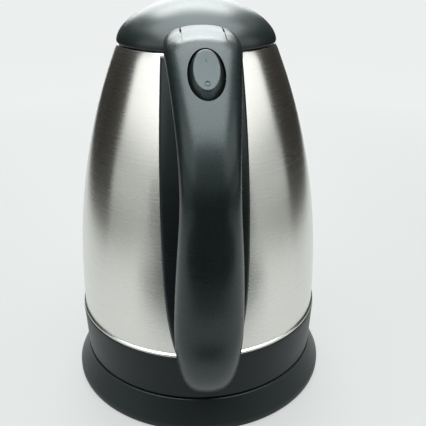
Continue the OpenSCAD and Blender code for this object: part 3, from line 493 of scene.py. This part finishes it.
NODE_FINISH = {
    "base_bottom": BASE_BLACK, "foot_ring": FOOT_RUBBER, "socket_contacts": BRASS,
    "base_screws": SCREW_STEEL, "cord_gland": FOOT_RUBBER, "plug_contacts": BRASS,
    "heater_plate": INNER_STEEL, "heat_spreader": CAST_METAL, "heating_element": INNER_STEEL,
    "control_unit": IVORY, "boil_dry_discs": BIMETAL, "bottom_cover": BASE_BLACK,
    "cover_screws": SCREW_STEEL, "water_gauge": GAUGE_CLEAR, "gauge_seals": SEAL_RUBBER,
    "handle_screw": SCREW_STEEL, "head_bracket": INNER_STEEL, "bracket_screws": SCREW_STEEL,
    "steam_duct": BASE_BLACK, "steam_switch": IVORY, "steam_bimetal": BIMETAL,
    "switch_contacts": BRASS, "rocker_pin": PIN_GAP_PAINTED_SHADE, "hinge_pin": INNER_STEEL,
    "switch_wires": WIRE_RED, "toggle_lever": IVORY, "snap_spring": INNER_STEEL,
    "hinge_arms": ARM_COATING_AND_SLOT_SHADE, "lid_screws": SCREW_STEEL, "base_top": BASE_BLACK,
    "base_socket": BASE_BLACK, "kettle_plug": BASE_BLACK, "body_shell": JUG_STEEL, "spout": SPOUT_STEEL,
    "skirt": SKIRT_BLACK, "gauge_column": COLUMN_BLACK, "handle_outer": HANDLE_BLACK,
    "handle_inner": GRIP_BACK, "rocker": ROCKER_GREY, "lid_cover": LID_BLACK, "lid_inner": INNER_STEEL,
}


def coat(piece, finish):
    """Gives a piece one finish all over."""
    piece.data.materials.clear()
    piece.data.materials.append(finish)


def stand_for(piece, body, slot, finish, *nodes):
    """Gives a piece its finish and its body, and lets it stand for the solids it repeats."""
    coat(piece, finish)
    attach(piece, body)
    if nodes:
        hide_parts(*nodes)


for node_name, node_finish in NODE_FINISH.items():
    coat(frame["nodes"][node_name], node_finish)


# ---------------------------------------------------------------- power base

def make_base_cover():
    """Cover: an upright lip, a sloping flank, a rounded edge and shallow rings in the dish."""
    edge = BASE_TOP - BASE_EDGE
    under = BASE_TOP - BASE_SKIN
    hole = TOWER_R + 0.2
    foot = [(BASE_R - 2.8, BASE_FOOT), (BASE_R - 0.4, BASE_FOOT), (BASE_R - 0.1, BASE_FOOT + 0.15),
            (BASE_R, BASE_FOOT + 0.5)]
    flank = [(BASE_R - BASE_FLARE * k / 12, LIP_TOP + (edge - LIP_TOP) * k / 12) for k in range(13)]
    rounding = arc(BASE_R - BASE_FLARE - BASE_EDGE, edge, BASE_EDGE, 20, 90)[1:]
    dish = groove(67.0, 1.5, 0.4, BASE_TOP, 0.3) + groove(26.0, 1.5, 0.4, BASE_TOP, 0.4)
    inside = [(hole + 0.4, BASE_TOP), (hole, BASE_TOP - 0.3), (hole, under), (BASE_R - 10, under),
              (BASE_R - 3, LIP_TOP)]
    cover = turned("power_base_cover", foot + flank + rounding + dish + inside, 192)
    cut(cover, peg("inlet_cutter", (0, BASE_R - 10, INLET_Z), (0, BASE_R + 10, INLET_Z), INLET_R, 40))
    smooth(cover)
    stand_for(cover, "power_base", "base_plastic", BASE_BLACK, "base_top")


def make_base_tower():
    """Connector tower: a bore for the pin and a ring slot in a chamfered post."""
    near, far = RING_SLOT
    foot_r, foot, waist, chamfer = 14.4, 3.6, 16.1, 0.3
    outline = [(PIN_BORE, 18), (PIN_BORE, TOWER_TOP - 0.5), (PIN_BORE + 0.45, TOWER_TOP),
               (near - chamfer, TOWER_TOP), (near, TOWER_TOP - chamfer), (near, RING_FLOOR),
               (far, RING_FLOOR), (far, TOWER_TOP - chamfer), (far + chamfer, TOWER_TOP),
               (TOWER_R - 1.2, TOWER_TOP), (TOWER_R - 0.4, TOWER_TOP - chamfer),
               (TOWER_R, TOWER_TOP - 1.2), (TOWER_R, waist), (foot_r, waist), (foot_r, foot),
               (PIN_BORE, foot)]
    tower = turned("connector_tower", outline, 96)
    smooth(tower)
    stand_for(tower, "power_base", "base_plastic", BASE_BLACK, "base_socket")


# ---------------------------------------------------------------- jug

def jug_outline():
    """Section of the steel sheet: the bead, the side, the rolled lip and the inside."""
    inner_foot = FOOT_R - SHEET
    bead = arc(FOOT_R + 0.1, BODY_FOOT, BEAD_R, -84, 84, 12)
    side = jug_side(0, BODY_FOOT + 1.2, MOUTH - 2.1, 46)
    lip = arc(MOUTH_R - 0.95, MOUTH - 0.85, LIP_R, 15, 215, 9)
    inner = jug_side(-SHEET, MOUTH - 1.9, BODY_FOOT + 1.8, 30)
    return [(inner_foot, BODY_FOOT - BEAD_R)] + bead + side + lip + inner + [(inner_foot, BODY_FOOT + 1)]


def make_jug():
    jug = turned("steel_jug", jug_outline(), 256)
    holes = []
    for row in range(STRAINER_ROWS):
        for column in range(STRAINER_COLUMNS):
            x = (column - (STRAINER_COLUMNS - 1) / 2) * STRAINER_PITCH
            z = STRAINER_Z + row * STRAINER_PITCH
            holes.append(peg("hole", (x, 35, z), (x, 68, z), STRAINER_R, 20))
    cut(jug, joined(holes))
    ports = [peg("port", (0, -body_radius(z) + 6, z), (0, -body_radius(z) - 2, z), GAUGE_PORT_R, 28)
             for z in GAUGE_PORTS]
    wall = -body_radius(STEAM_PORT_Z)
    ports.append(peg("port", (0, wall + 5, STEAM_PORT_Z - 2.5), (0, wall - 3, STEAM_PORT_Z + 1.5),
                     STEAM_PORT_R, 28))
    cut(jug, joined(ports))
    smooth(jug, 35)
    stand_for(jug, "jug", "steel_body", JUG_STEEL, "body_shell")


def make_heater_floor():
    """Floor of the jug: a flanged disc with two pressed rings."""
    under = FLOOR_TOP - FLOOR_SHEET
    flange_foot = 47.6
    rim = [(72.7, flange_foot), (72.7, under), (72.3, FLOOR_TOP - 0.1), (71.5, FLOOR_TOP)]
    rings = groove(57.6, 1.0, 0.6, FLOOR_TOP, 0.3) + groove(30.0, 1.0, 0.6, FLOOR_TOP, 0.3)
    below = [(AXIS, FLOOR_TOP), (AXIS, under), (71.9, under), (71.9, flange_foot)]
    floor_plate = turned("heater_floor", rim + rings + below, 160)
    smooth(floor_plate)
    stand_for(floor_plate, "jug", "steel_plain", INNER_STEEL, "heater_plate")


def make_skirt():
    """Skirt: a rolled foot, a drafted side, a rounded shoulder and a ledge under the bead."""
    foot_r = FOOT_R
    roll = [(foot_r - SKIRT_WALL, SKIRT_FOOT), (foot_r - 1.2, SKIRT_FOOT), (foot_r - 0.8, 19.3),
            (foot_r - 0.36, 19.68), (foot_r - 0.1, 20.2), (foot_r, SKIRT_ROLL_TOP)]
    shoulder = SKIRT_TOP - 0.5
    side = [(foot_r + SKIRT_PROUD * k / 8, SKIRT_ROLL_TOP + (shoulder - SKIRT_ROLL_TOP) * k / 8)
            for k in range(1, 9)]
    rounding = arc(foot_r + 0.7, shoulder, 0.5, 5, 90, 4)
    ledge = [(72.85, SKIRT_TOP), (72.85, SKIRT_TOP - 0.2), (69.0, SKIRT_TOP - 0.2),
             (69.0, SKIRT_TOP - SKIRT_WALL), (72.2, SKIRT_TOP - SKIRT_WALL)]
    skirt = turned("jug_skirt", roll + side + rounding + ledge, 192)
    smooth(skirt)
    stand_for(skirt, "jug", "base_plastic", SKIRT_BLACK, "skirt")


def make_plug_cup():
    """Round plug under the jug: a cup that drops over the tower."""
    inner = TOWER_R + CUP_GAP
    outer = inner + CUP_WALL
    foot, roof = 19.6, 30.4
    outline = [(inner, foot), (inner + 0.6, foot), (outer - 0.4, foot), (outer, foot + 0.4),
               (outer, CUP_TOP), (AXIS, CUP_TOP), (AXIS, roof), (inner, roof), (inner, foot + 0.6)]
    cup = turned("connector_cup", outline, 96)
    smooth(cup)
    stand_for(cup, "plug", "base_plastic", BASE_BLACK, "kettle_plug")


# ---------------------------------------------------------------- spout

def spout_ring(u, steps=32):
    """A section of the beak, from its foot at u = 0 to its tip at u = 1."""
    z = SPOUT_FOOT + SPOUT_RISE * u
    half = SPOUT_HALF_LOW + SPOUT_HALF_GROWTH * u ** 0.6
    root = body_radius(z) - 3
    start = body_radius(SPOUT_FOOT + SPOUT_RISE) + 0.4
    tip = body_radius(z) + 0.4 + (SPOUT_TIP - start) * u ** 1.3
    ring = []
    for k in range(steps + 1):
        a = (-90 + 180 * k / steps) * SPAN
        ring.append((half * math.sin(a), root - 8 * math.sin(a) ** 2
                     + (tip - root) * max(0.0, math.cos(a)) ** 1.15, z + 2.5 * u * u * math.cos(a)))
    return ring


def make_spout():
    rings = 26
    beak = pulled_grid("pouring_spout", [spout_ring(k / rings) for k in range(rings + 1)])
    finish_with(beak, "SOLIDIFY", thickness=SPOUT_SHEET * MM, offset=-1)
    clean_skin(beak, 0.00001)
    rounded(beak, 0.25, 2, 60)
    low, high, above = 150, 206, 212
    outline = [(CORE, low)] + jug_side(0.02, low, high, 24)
    outline += [(body_radius(high) + 0.02, above), (CORE, above)]
    cut(beak, turned("jug_space", outline, 192))
    smooth(beak, 35)
    stand_for(beak, "jug", "steel_body", SPOUT_STEEL, "spout")


# ---------------------------------------------------------------- gauge column

def column_half(z):
    """Half the column's width at a height: widest in the middle, narrower to both ends."""
    if z > COLUMN_MID:
        return COLUMN_HALF - COLUMN_TOP_LOSS * ((z - COLUMN_MID) / (MOUTH - COLUMN_MID)) ** 2
    return COLUMN_HALF - COLUMN_FOOT_LOSS * ((COLUMN_MID - z) / (COLUMN_MID - COLUMN_FOOT)) ** 3


def column_row(z, inset=0.0):
    """A level section of the column: up one side, round the corner, across and down again."""
    base = body_radius(z) + 0.05
    deep = COLUMN_DEEP - 0.05 - inset
    half = column_half(z) - inset
    corner = COLUMN_CORNER
    reach = half - corner
    edge = [(half, d) for d in (0.0, deep * 0.5, deep - corner)]
    for k in range(1, 6):
        a = k / 6 * math.pi / 2
        edge.append((half - corner * (1 - math.cos(a)), deep - corner * (1 - math.sin(a))))
    front = [(reach * (1 - 2 * k / 20), deep) for k in range(21)]
    row = []
    for x, d in edge + front + [(-x, d) for x, d in reversed(edge)]:
        r = base + d
        row.append((x, -math.sqrt(max(r * r - x * x, 0)), z))
    return row


def make_column():
    chamfer = 1.4
    places = [(COLUMN_FOOT, 1.2), (COLUMN_FOOT + 0.5, 0.35)]
    places += [(z, 0.0) for z in levels(COLUMN_FOOT + chamfer, COLUMN_TOP, 44)]
    rows = [column_row(z, inset) for z, inset in places]
    column = pulled_grid("gauge_column_cover", [row + [row[0]] for row in rows])
    close_ends(column)
    outline = jug_side(-1, WINDOW_LOW, WINDOW_HIGH, 24) + [(95, WINDOW_HIGH), (95, WINDOW_LOW)]
    slot = turned("slot_cutter", outline, 192)
    cut(column, block("head_room", (-HEAD_ROOM_HALF, -90, HEAD_ROOM_FOOT), (HEAD_ROOM_HALF, -20, 215)))
    window = block("window_cutter", (-WINDOW_HALF, -100, 60), (WINDOW_HALF, -30, 190))
    cut(window, slot, "INTERSECT")
    cut(column, window)
    smooth(column, 32)
    stand_for(column, "jug", "base_plastic", COLUMN_BLACK, "gauge_column")


# ---------------------------------------------------------------- handle

def handle_stations():
    """Places along the handle's outside: distance from the axis, height, half width, thickness."""
    reach = body_radius(REACH_Z) + COLUMN_DEEP + HAND_GAP + GRIP_THICK
    stations = [(HEAD_FRONT, HEAD_TOP, HEAD_HALF - 0.3, HEAD_THICK),
                (HEAD_FRONT + 13.4, HEAD_TOP - 1.7, HEAD_HALF, HEAD_THICK),
                (HEAD_FRONT + 27.4, HEAD_TOP - 6.8, HEAD_HALF - 1, HEAD_THICK),
                (reach - 21.5, REACH_Z + 49, GRIP_HALF + 1.7, GRIP_THICK - 1.5),
                (reach - 9, REACH_Z + 34, GRIP_HALF + 0.5, GRIP_THICK - 0.5),
                (reach - 1.5, REACH_Z + 17, GRIP_HALF, GRIP_THICK),
                (reach, REACH_Z, GRIP_HALF + 0.4, GRIP_THICK),
                (reach - 2, REACH_Z - 21, (GRIP_HALF + LOW_HALF) / 2 - 0.2, GRIP_THICK),
                (reach - 7, TURN_Z + 20, LOW_HALF - 0.7, GRIP_THICK)]
    turn_reach = reach - 11.2
    for angle in (0, 20, 40, 60, 75, 84):
        share = angle * SPAN
        out = FOOT_ROOT + (turn_reach - FOOT_ROOT) * math.cos(share)
        mix = min(1, angle / 30)
        stations.append((out, TURN_Z - (TURN_Z - TIP_Z) * math.sin(share),
                         LOW_HALF * math.cos(share) ** FOOT_TAPER,
                         GRIP_THICK * (1 - mix) + (out - FOOT_INNER) * mix))
    return stations


def spline(a, b, c, d, t):
    return 0.5 * (2 * b + (c - a) * t + (2 * a - 5 * b + 4 * c - d) * t * t
                  + (3 * b - a - 3 * c + d) * t ** 3)


def handle_path(per_span=7):
    """A smooth curve through the stations."""
    stations = handle_stations()
    path = []
    last = len(stations) - 1
    for i in range(last):
        four = [stations[max(i - 1, 0)], stations[i], stations[i + 1], stations[min(i + 2, last)]]
        for j in range(per_span):
            path.append(tuple(spline(*[s[k] for s in four], j / per_span) for k in range(4)))
    path.append(stations[last])
    return path


def signed_power(v, e):
    return math.copysign(abs(v) ** e, v)


def handle_section(path, i, start, end, steps, inset=0.0):
    """Part of the rounded section at one place of the handle, between two angles."""
    rho, z, half, thick = path[i]
    a, b = path[max(i - 1, 0)], path[min(i + 1, len(path) - 1)]
    share = max(0, min(1, (z - TURN_Z) / 25))
    lean = share * math.atan2(b[0] - a[0], a[1] - b[1])
    out = (math.cos(lean), math.sin(lean))
    points = []
    for k in range(steps + 1):
        t = start + (end - start) * k / steps
        x = (half - inset) * signed_power(math.cos(t), SECTION_POWER)
        n = (thick / 2 - inset) * signed_power(math.sin(t), SECTION_POWER) - thick / 2
        points.append((x, -(rho + out[0] * n), z + out[1] * n))
    return points


def handle_skin(name, front):
    """One half of the handle, as a closed skin from the head to the foot."""
    path = handle_path()
    part = math.asin(0.3 ** (1 / SECTION_POWER))
    start, end = (-part, math.pi + part) if front else (math.pi + part, 2 * math.pi - part)
    steps = 44 if front else 28
    rows = [handle_section(path, i, start, end, steps, 0.12) for i in range(len(path))]
    rows = [row + [row[0]] for row in rows]
    piece = pulled_grid(name, rows)
    close_ends(piece)
    return piece


def well_frame():
    """Frame of the rocker's well: +Z out of the handle, +Y up its slope."""
    return (Matrix.Translation(ROCKER_PIN) @ Matrix.Rotation(WELL_SLOPE * SPAN, 4, "X")
            @ Matrix.Translation((0, 0, ROCKER_DEPTH * MM)))


def head_front():
    """Outline of the round space that the lid takes out of the handle's head."""
    above = 232
    return [(HEAD_FRONT, HEAD_FOOT), (HEAD_FRONT, above), (CORE, above)]


def oval_block(name, width, length, low, high):
    nothing_selected()
    bpy.ops.mesh.primitive_cylinder_add(vertices=KEY_SIDES, radius=0.5, depth=(high - low) * MM,
                                        location=(0, 0, (high + low) / 2 * MM))
    piece = just_made(name)
    piece.scale = (width * MM, length * MM, 1)
    settle(piece)
    return piece


def make_handle_front():
    """Outer half of the handle, with the rocker's well and the slots that the lid's arms swing in."""
    front = handle_skin("handle_front", True)
    cut(front, turned("head_front_cutter", [(CORE, HEAD_FOOT)] + head_front(), 192))
    well = oval_block("well_cutter", WELL_WIDTH, WELL_LENGTH, -8, 6)
    well.data.transform(well_frame())
    cut(front, well)
    for side in (-1, 1):
        left, right = side * ARM_OUT - ARM_SLOT_HALF, side * ARM_OUT + ARM_SLOT_HALF
        slot_end = HINGE_Y - ARM_SLOT_REACH
        cut(front, block("arm_slot", (left, slot_end, HINGE_Z - 4.1), (right, HINGE_Y + 4.9, HINGE_Z + 6)))
        groove_cutter = block("arm_groove", (left, -14, 0), (right, 0.5, 6))
        groove_cutter.data.transform(Matrix.Translation((0, slot_end * MM, (HINGE_Z + 1.3) * MM))
                                     @ Matrix.Rotation(math.atan2(3.4, 13.6), 4, "X"))
        cut(front, groove_cutter)
    smooth(front, 38)
    stand_for(front, "jug", "handle_plastic", HANDLE_BLACK, "handle_outer")


def make_handle_back():
    """Inner half of the handle, fitted to the skirt, the column, the jug and the lid."""
    back = handle_skin("handle_back", False)
    skirt_r = FOOT_R + SKIRT_PROUD
    ledge, below = COLUMN_FOOT - FIT, 18
    outline = [(CORE, below), (FOOT_R + FIT, below), (skirt_r + FIT, SKIRT_TOP), (skirt_r, SKIRT_TOP),
               (skirt_r, ledge)]
    outline += jug_side(COLUMN_DEEP + FIT, ledge, SEAT, 30) + jug_side(FIT, SEAT, HEAD_FOOT, 4)
    cut(back, turned("jug_back_space", outline + head_front(), 192))
    smooth(back, 38)
    stand_for(back, "jug", "handle_plastic", GRIP_BACK, "handle_inner")


# ---------------------------------------------------------------- rocker

def rocker_frame():
    """Frame of the rocker: on its pin, tilted to its off side."""
    return (Matrix.Translation(ROCKER_PIN) @ Matrix.Rotation(WELL_SLOPE * SPAN, 4, "X")
            @ Matrix.Rotation(ROCKER_TILT * SPAN, 4, "X"))


def make_rocker():
    """Oval key: an oval ring extruded upwards and drawn in to a smaller face set up the slope.

    Each stage is (width, length, shift up the slope, height).
    """
    top = KEY_TOP
    stages = [(16.2, 27.1, 0, -2.0), (16.2, 27.1, 0, 0.2), (16.2, 27.1, 0, top - 4.4),
              (15.8, 26.7, 0.1, top - 4.0), (14.4, 24.4, 0.8, top - 1.9), (13.0, 22.0, 1.3, top - 0.8),
              (12.3, 20.9, 1.45, top - 0.4), (11.7, 20.2, 1.5, top - 0.1), (11.1, 19.5, 1.5, top),
              (10.1, 18.2, 1.5, top - 0.05), (6.8, 12.6, 1.5, top - 0.28), (2.5, 5.0, 1.5, top - 0.4)]
    nothing_selected()
    bpy.ops.mesh.primitive_circle_add(vertices=KEY_SIDES, radius=0.5 * MM, fill_type="NGON",
                                      location=(0, 0, stages[0][3] * MM))
    key = just_made("rocker_key")
    settle(key)
    bpy.ops.object.mode_set(mode="EDIT")
    bpy.ops.mesh.select_all(action="SELECT")
    w, l, y, z = 1.0, 1.0, 0.0, stages[0][3]
    for number, (w2, l2, y2, z2) in enumerate(stages):
        if number:
            bpy.ops.mesh.extrude_region_move(
                TRANSFORM_OT_translate={"value": (0, (y2 - y) * MM, (z2 - z) * MM)})
        bpy.ops.transform.resize(value=(w2 / w, l2 / l, 1), center_override=(0, y2 * MM, z2 * MM))
        w, l, y, z = w2, l2, y2, z2
    bpy.ops.object.mode_set(mode="OBJECT")
    clean_skin(key)
    key.data.transform(rocker_frame())
    smooth(key, 50)
    stand_for(key, "switch", "rocker_plastic", ROCKER_GREY, "rocker")
    # Faces that turn away from the key's face get the darker copy: painted shade in the gap round the key
    key.data.materials.append(ROCKER_FLANK_PAINTED_SHADE)
    outwards = rocker_frame().to_3x3() @ Vector((0, 0, 1))
    for face in key.data.polygons:
        face.material_index = 1 if face.normal.dot(outwards) < 0.8 else 0


def make_rocker_marks():
    """The generic on and off marks on the rocker's face: a bar at the top and a ring at the foot."""
    bar = block("on_bar", (-0.27, 5.9, KEY_TOP - 0.5), (0.27, 8.1, KEY_TOP - 0.08))
    rounded(bar, 0.12, 2)
    bar.data.transform(rocker_frame())
    smooth(bar)
    stand_for(bar, "switch", "rocker_plastic", MARK_GREY)
    nothing_selected()
    bpy.ops.mesh.primitive_torus_add(major_radius=1.15 * MM, minor_radius=0.2 * MM, major_segments=40,
                                     minor_segments=10, location=(0, -5.2 * MM, (KEY_TOP - 0.14) * MM))
    ring = just_made("off_ring")
    settle(ring)
    ring.data.transform(rocker_frame())
    smooth(ring, 60)
    stand_for(ring, "switch", "rocker_plastic", MARK_GREY)


# ---------------------------------------------------------------- lid

def dome(r, rise, steps):
    """Outline of a domed cap, from its edge towards the axis."""
    quarter = [90 * k / steps * SPAN for k in range(steps)]
    return [(r * max(math.cos(a), 0) ** (2 / LID_POWER),
             LID_EDGE + rise * math.sin(a) ** (2 / LID_POWER)) for a in quarter]


def make_lid():
    """Lid cover: a dome with a rolled lower edge and two slots for the hinge arms."""
    inside = LID_R - LID_WALL
    inner_r = inside - 0.9
    outer = dome(LID_R, LID_RISE, 40)
    inner = dome(inside, LID_RISE - LID_WALL, 24)
    roll = [(LID_R - LID_ROLL_WIDTH * (1 - math.cos(a * SPAN)), LID_EDGE - LID_ROLL * math.sin(a * SPAN))
            for a in range(90, 0, -10)]
    outline = [(inner_r, LID_FOOT)] + roll + outer + [(AXIS, LID_TOP), (AXIS, LID_TOP - LID_WALL)]
    outline += list(reversed(inner)) + [(inner_r, LID_FOOT + 0.8)]
    lid = turned("lid_dome", outline, 224)
    for side in (-1, 1):
        cut(lid, block("arm_slot", (side * ARM_OUT - ARM_SLOT_HALF, -LID_R - 1, HINGE_Z - 6.5),
                       (side * ARM_OUT + ARM_SLOT_HALF, -LID_R + 11, HINGE_Z - 0.9)))
    smooth(lid, 32)
    stand_for(lid, "lid", "lid_plastic", LID_BLACK, "lid_cover")


def make_lid_tab():
    """Thumb tab on the lid's edge over the spout, with rounded corners."""
    foot = LID_FOOT + 0.4
    tab = block("lid_tab", (-TAB_HALF, 40, foot), (TAB_HALF, LID_R + TAB_REACH, foot + TAB_THICK))
    work_on(tab)
    bpy.ops.object.mode_set(mode="EDIT")
    edges = bmesh.from_edit_mesh(tab.data)
    for edge in edges.edges:
        a, b = edge.verts
        edge.select = abs(a.co.z - b.co.z) > 0.001 and a.co.y > 0.05
    bmesh.update_edit_mesh(tab.data)
    bpy.ops.mesh.bevel(offset=4 * MM, segments=8, affect="EDGES")
    bpy.ops.object.mode_set(mode="OBJECT")
    rounded(tab, 0.7, 3)
    inside = LID_R - 2.5
    cut(tab, turned("lid_space", [(CORE, 200), (inside, 200), (inside, 220), (CORE, 220)], 128))
    smooth(tab)
    stand_for(tab, "lid", "lid_plastic", LID_BLACK)


def make_lid_dish():
    """Pressed inner lid: a flange, a wall, a floor with one ridge and three vents."""
    upper = DISH_FLOOR + DISH_SHEET
    flange = 206.9
    below = [(40.5, flange), (39.4, flange), (39.4, 205.4), (39.0, 204.0), (37.4, DISH_FLOOR)]
    below += groove(25.0, 3.0, 0.6, DISH_FLOOR, -0.4) + [(AXIS, DISH_FLOOR)]
    above = [(AXIS, upper)] + list(reversed(groove(25.0, 3.2, 0.8, upper, -0.4)))
    above += [(37.1, upper), (38.5, 204.3), (38.8, 205.5), (38.8, flange + DISH_SHEET),
              (40.5, flange + DISH_SHEET)]
    dish = turned("lid_dish", below + above, 160)
    vent_ring, vent_r = 12, 1.5
    for k in range(3):
        a = 120 * k * SPAN
        x, y = vent_ring * math.cos(a), vent_ring * math.sin(a)
        cut(dish, peg("vent", (x, y, 200), (x, y, 206), vent_r, 20))
    smooth(dish)
    stand_for(dish, "lid", "steel_plain", INNER_STEEL, "lid_inner")


make_base_cover()
make_base_tower()
make_jug()
make_heater_floor()
make_skirt()
make_plug_cup()
make_spout()
make_column()
make_handle_front()
make_handle_back()
make_rocker()
make_rocker_marks()
make_lid()
make_lid_tab()
make_lid_dish()


# ---------------------------------------------------------------- studio

# Colour of the empty table and room
DAYLIGHT = (0.86, 0.885, 0.88, 1)


def make_table():
    """White table: it glows for the camera and for shines, and keeps the kettle's shadow."""
    nothing_selected()
    bpy.ops.mesh.primitive_plane_add(size=30, location=(0, 0, 0))
    table = just_made("studio_table")
    finish, tree, shader, place = blank_finish("table_white")
    soft = grain(tree, place, 3, 3)
    tree.links.new(tinted(tree, between(tree, soft, 0, 1), (0.225, 0.232, 0.23), (0.235, 0.242, 0.24)),
                   shader.inputs["Base Color"])
    shader.inputs["Roughness"].default_value = 0.55
    glow = tree.nodes.new("ShaderNodeEmission")
    glow.inputs["Color"].default_value = DAYLIGHT
    glow.inputs["Strength"].default_value = 1.0
    path = tree.nodes.new("ShaderNodeLightPath")
    away = tree.nodes.new("ShaderNodeVectorMath")
    away.operation = "LENGTH"
    tree.links.new(place, away.inputs[0])
    seen = arithmetic(tree, "MAXIMUM", path.outputs["Is Camera Ray"], path.outputs["Is Glossy Ray"])
    seen = arithmetic(tree, "MAXIMUM", seen, path.outputs["Is Transmission Ray"])
    share = arithmetic(tree, "MULTIPLY", seen,
                       between(tree, away.outputs["Value"], 0.62, 0.97, 0.12, 0.8))
    mix = tree.nodes.new("ShaderNodeMixShader")
    tree.links.new(share, mix.inputs["Fac"])
    tree.links.new(shader.outputs["BSDF"], mix.inputs[1])
    tree.links.new(glow.outputs["Emission"], mix.inputs[2])
    tree.links.new(mix.outputs["Shader"], tree.nodes["Material Output"].inputs["Surface"])
    coat(table, finish)


def dark_card(name, where, turn, wide, high, dark, light, tip=90):
    """A card that only shines see: it darkens what the metal and the plastic mirror."""
    nothing_selected()
    bpy.ops.mesh.primitive_plane_add(size=1)
    card = just_made(name)
    card.scale = (wide, high, 1)
    settle(card)
    card.rotation_euler = (tip * SPAN, 0, turn)
    card.location = where
    settle(card)
    finish, tree, shader, place = blank_finish(name)
    bands = grain(tree, stretched(tree, place, (9, 9, 1)), 1.0, 3)
    tree.links.new(tinted(tree, between(tree, bands, 0, 1), dark, light), shader.inputs["Base Color"])
    shader.inputs["Roughness"].default_value = 0.9
    shader.inputs["Specular IOR Level"].default_value = 0.1
    coat(card, finish)
    card.visible_camera = False
    card.visible_diffuse = False
    card.visible_transmission = False
    card.visible_shadow = False


def make_cards():
    deep, warm = (0.004, 0.0045, 0.004), (0.024, 0.019, 0.013)
    black, dim = (0.01, 0.011, 0.011), (0.03, 0.03, 0.028)
    grey, pale = (0.05, 0.05, 0.046), (0.10, 0.095, 0.085)
    for side, word in ((-1, "left"), (1, "right")):
        dark_card("side_card_" + word, (side * 0.40, 0.56, 0.26), math.pi / 2, 1.14, 0.52, deep, warm)
    dark_card("front_card", (0, -0.42, 0.085), 0, 0.9, 0.17, black, dim)
    dark_card("table_card", (0, -0.293, 0.004), 0, 0.5, 0.254, black, dim, 0)
    for side, word in ((-1, "left"), (1, "right")):
        dark_card(word + "_table_card", (side * 0.80, 0, 0.003), 0, 0.8, 2.4, grey, pale, 0)


def soft_box(name, where, aim, wide, high, power, tint):
    nothing_selected()
    bpy.ops.object.light_add(type="AREA", location=where)
    lamp = bpy.context.object
    lamp.name = name
    lamp.data.shape = "RECTANGLE"
    lamp.data.size = wide
    lamp.data.size_y = high
    lamp.data.energy = power
    lamp.data.color = tint
    lamp.rotation_euler = (Vector(aim) - Vector(where)).to_track_quat("-Z", "Y").to_euler()


def make_lamps():
    cool, warm = (0.97, 1.0, 1.0), (1.0, 1.0, 0.99)
    soft_box("back_soft_box", (0.0, 1.0, 0.74), (0, 0, 0.22), 0.8, 0.9, 8.0, cool)
    soft_box("left_soft_box", (-1.00, -0.50, 0.66), (0, 0, 0.15), 1.20, 0.62, 2.5, warm)
    soft_box("right_soft_box", (1.00, -0.50, 0.66), (0, 0, 0.15), 1.20, 0.62, 2.5, warm)
    soft_box("top_soft_box", (0.0, -0.2, 1.1), (0, -0.05, 0.1), 1.5, 1.3, 31.0, (0.98, 1.0, 1.0))
    soft_box("upper_back_soft_box", (0.0, 0.72, 1.02), (0, 0, 0.22), 0.8, 0.30, 6.0, cool)


def make_world():
    """Pale room: plain to the camera, brighter above than below to everything else."""
    world = bpy.context.scene.world or bpy.data.worlds.new("studio_world")
    bpy.context.scene.world = world
    world.use_nodes = True
    tree = world.node_tree
    light = tree.nodes["Background"]
    light.inputs["Strength"].default_value = 1.0
    look = tree.nodes.new("ShaderNodeTexCoord")
    split = tree.nodes.new("ShaderNodeSeparateXYZ")
    tree.links.new(look.outputs["Generated"], split.inputs["Vector"])
    rise = between(tree, split.outputs["Z"], 0, 1, 0.05, 0.75)
    tree.links.new(tinted(tree, rise, (0.20, 0.21, 0.21), (0.52, 0.55, 0.55)), light.inputs["Color"])
    seen = tree.nodes.new("ShaderNodeBackground")
    seen.inputs["Color"].default_value = DAYLIGHT
    seen.inputs["Strength"].default_value = 1.0
    path = tree.nodes.new("ShaderNodeLightPath")
    mix = tree.nodes.new("ShaderNodeMixShader")
    tree.links.new(path.outputs["Is Camera Ray"], mix.inputs["Fac"])
    tree.links.new(light.outputs["Background"], mix.inputs[1])
    tree.links.new(seen.outputs["Background"], mix.inputs[2])
    tree.links.new(mix.outputs["Shader"], tree.nodes["World Output"].inputs["Surface"])


def make_camera():
    """Camera on the handle's side, a little above the lid and looking down."""
    nothing_selected()
    turn, pitch = 4.42 * SPAN, 23.84 * SPAN
    bpy.ops.object.camera_add(location=(-0.0177, -0.3379, 0.2520))
    camera = bpy.context.object
    level = math.cos(pitch)
    ahead = Vector((math.sin(turn) * level, math.cos(turn) * level, -math.sin(pitch)))
    camera.rotation_euler = ahead.to_track_quat("-Z", "Y").to_euler()
    camera.data.lens = 49.86
    camera.data.sensor_width = 36
    camera.data.shift_x = 0.0035
    camera.data.clip_start = 0.01
    bpy.context.scene.camera = camera


make_table()
make_cards()
make_lamps()
make_world()
make_camera()
bpy.context.scene.view_settings.view_transform = "Standard"
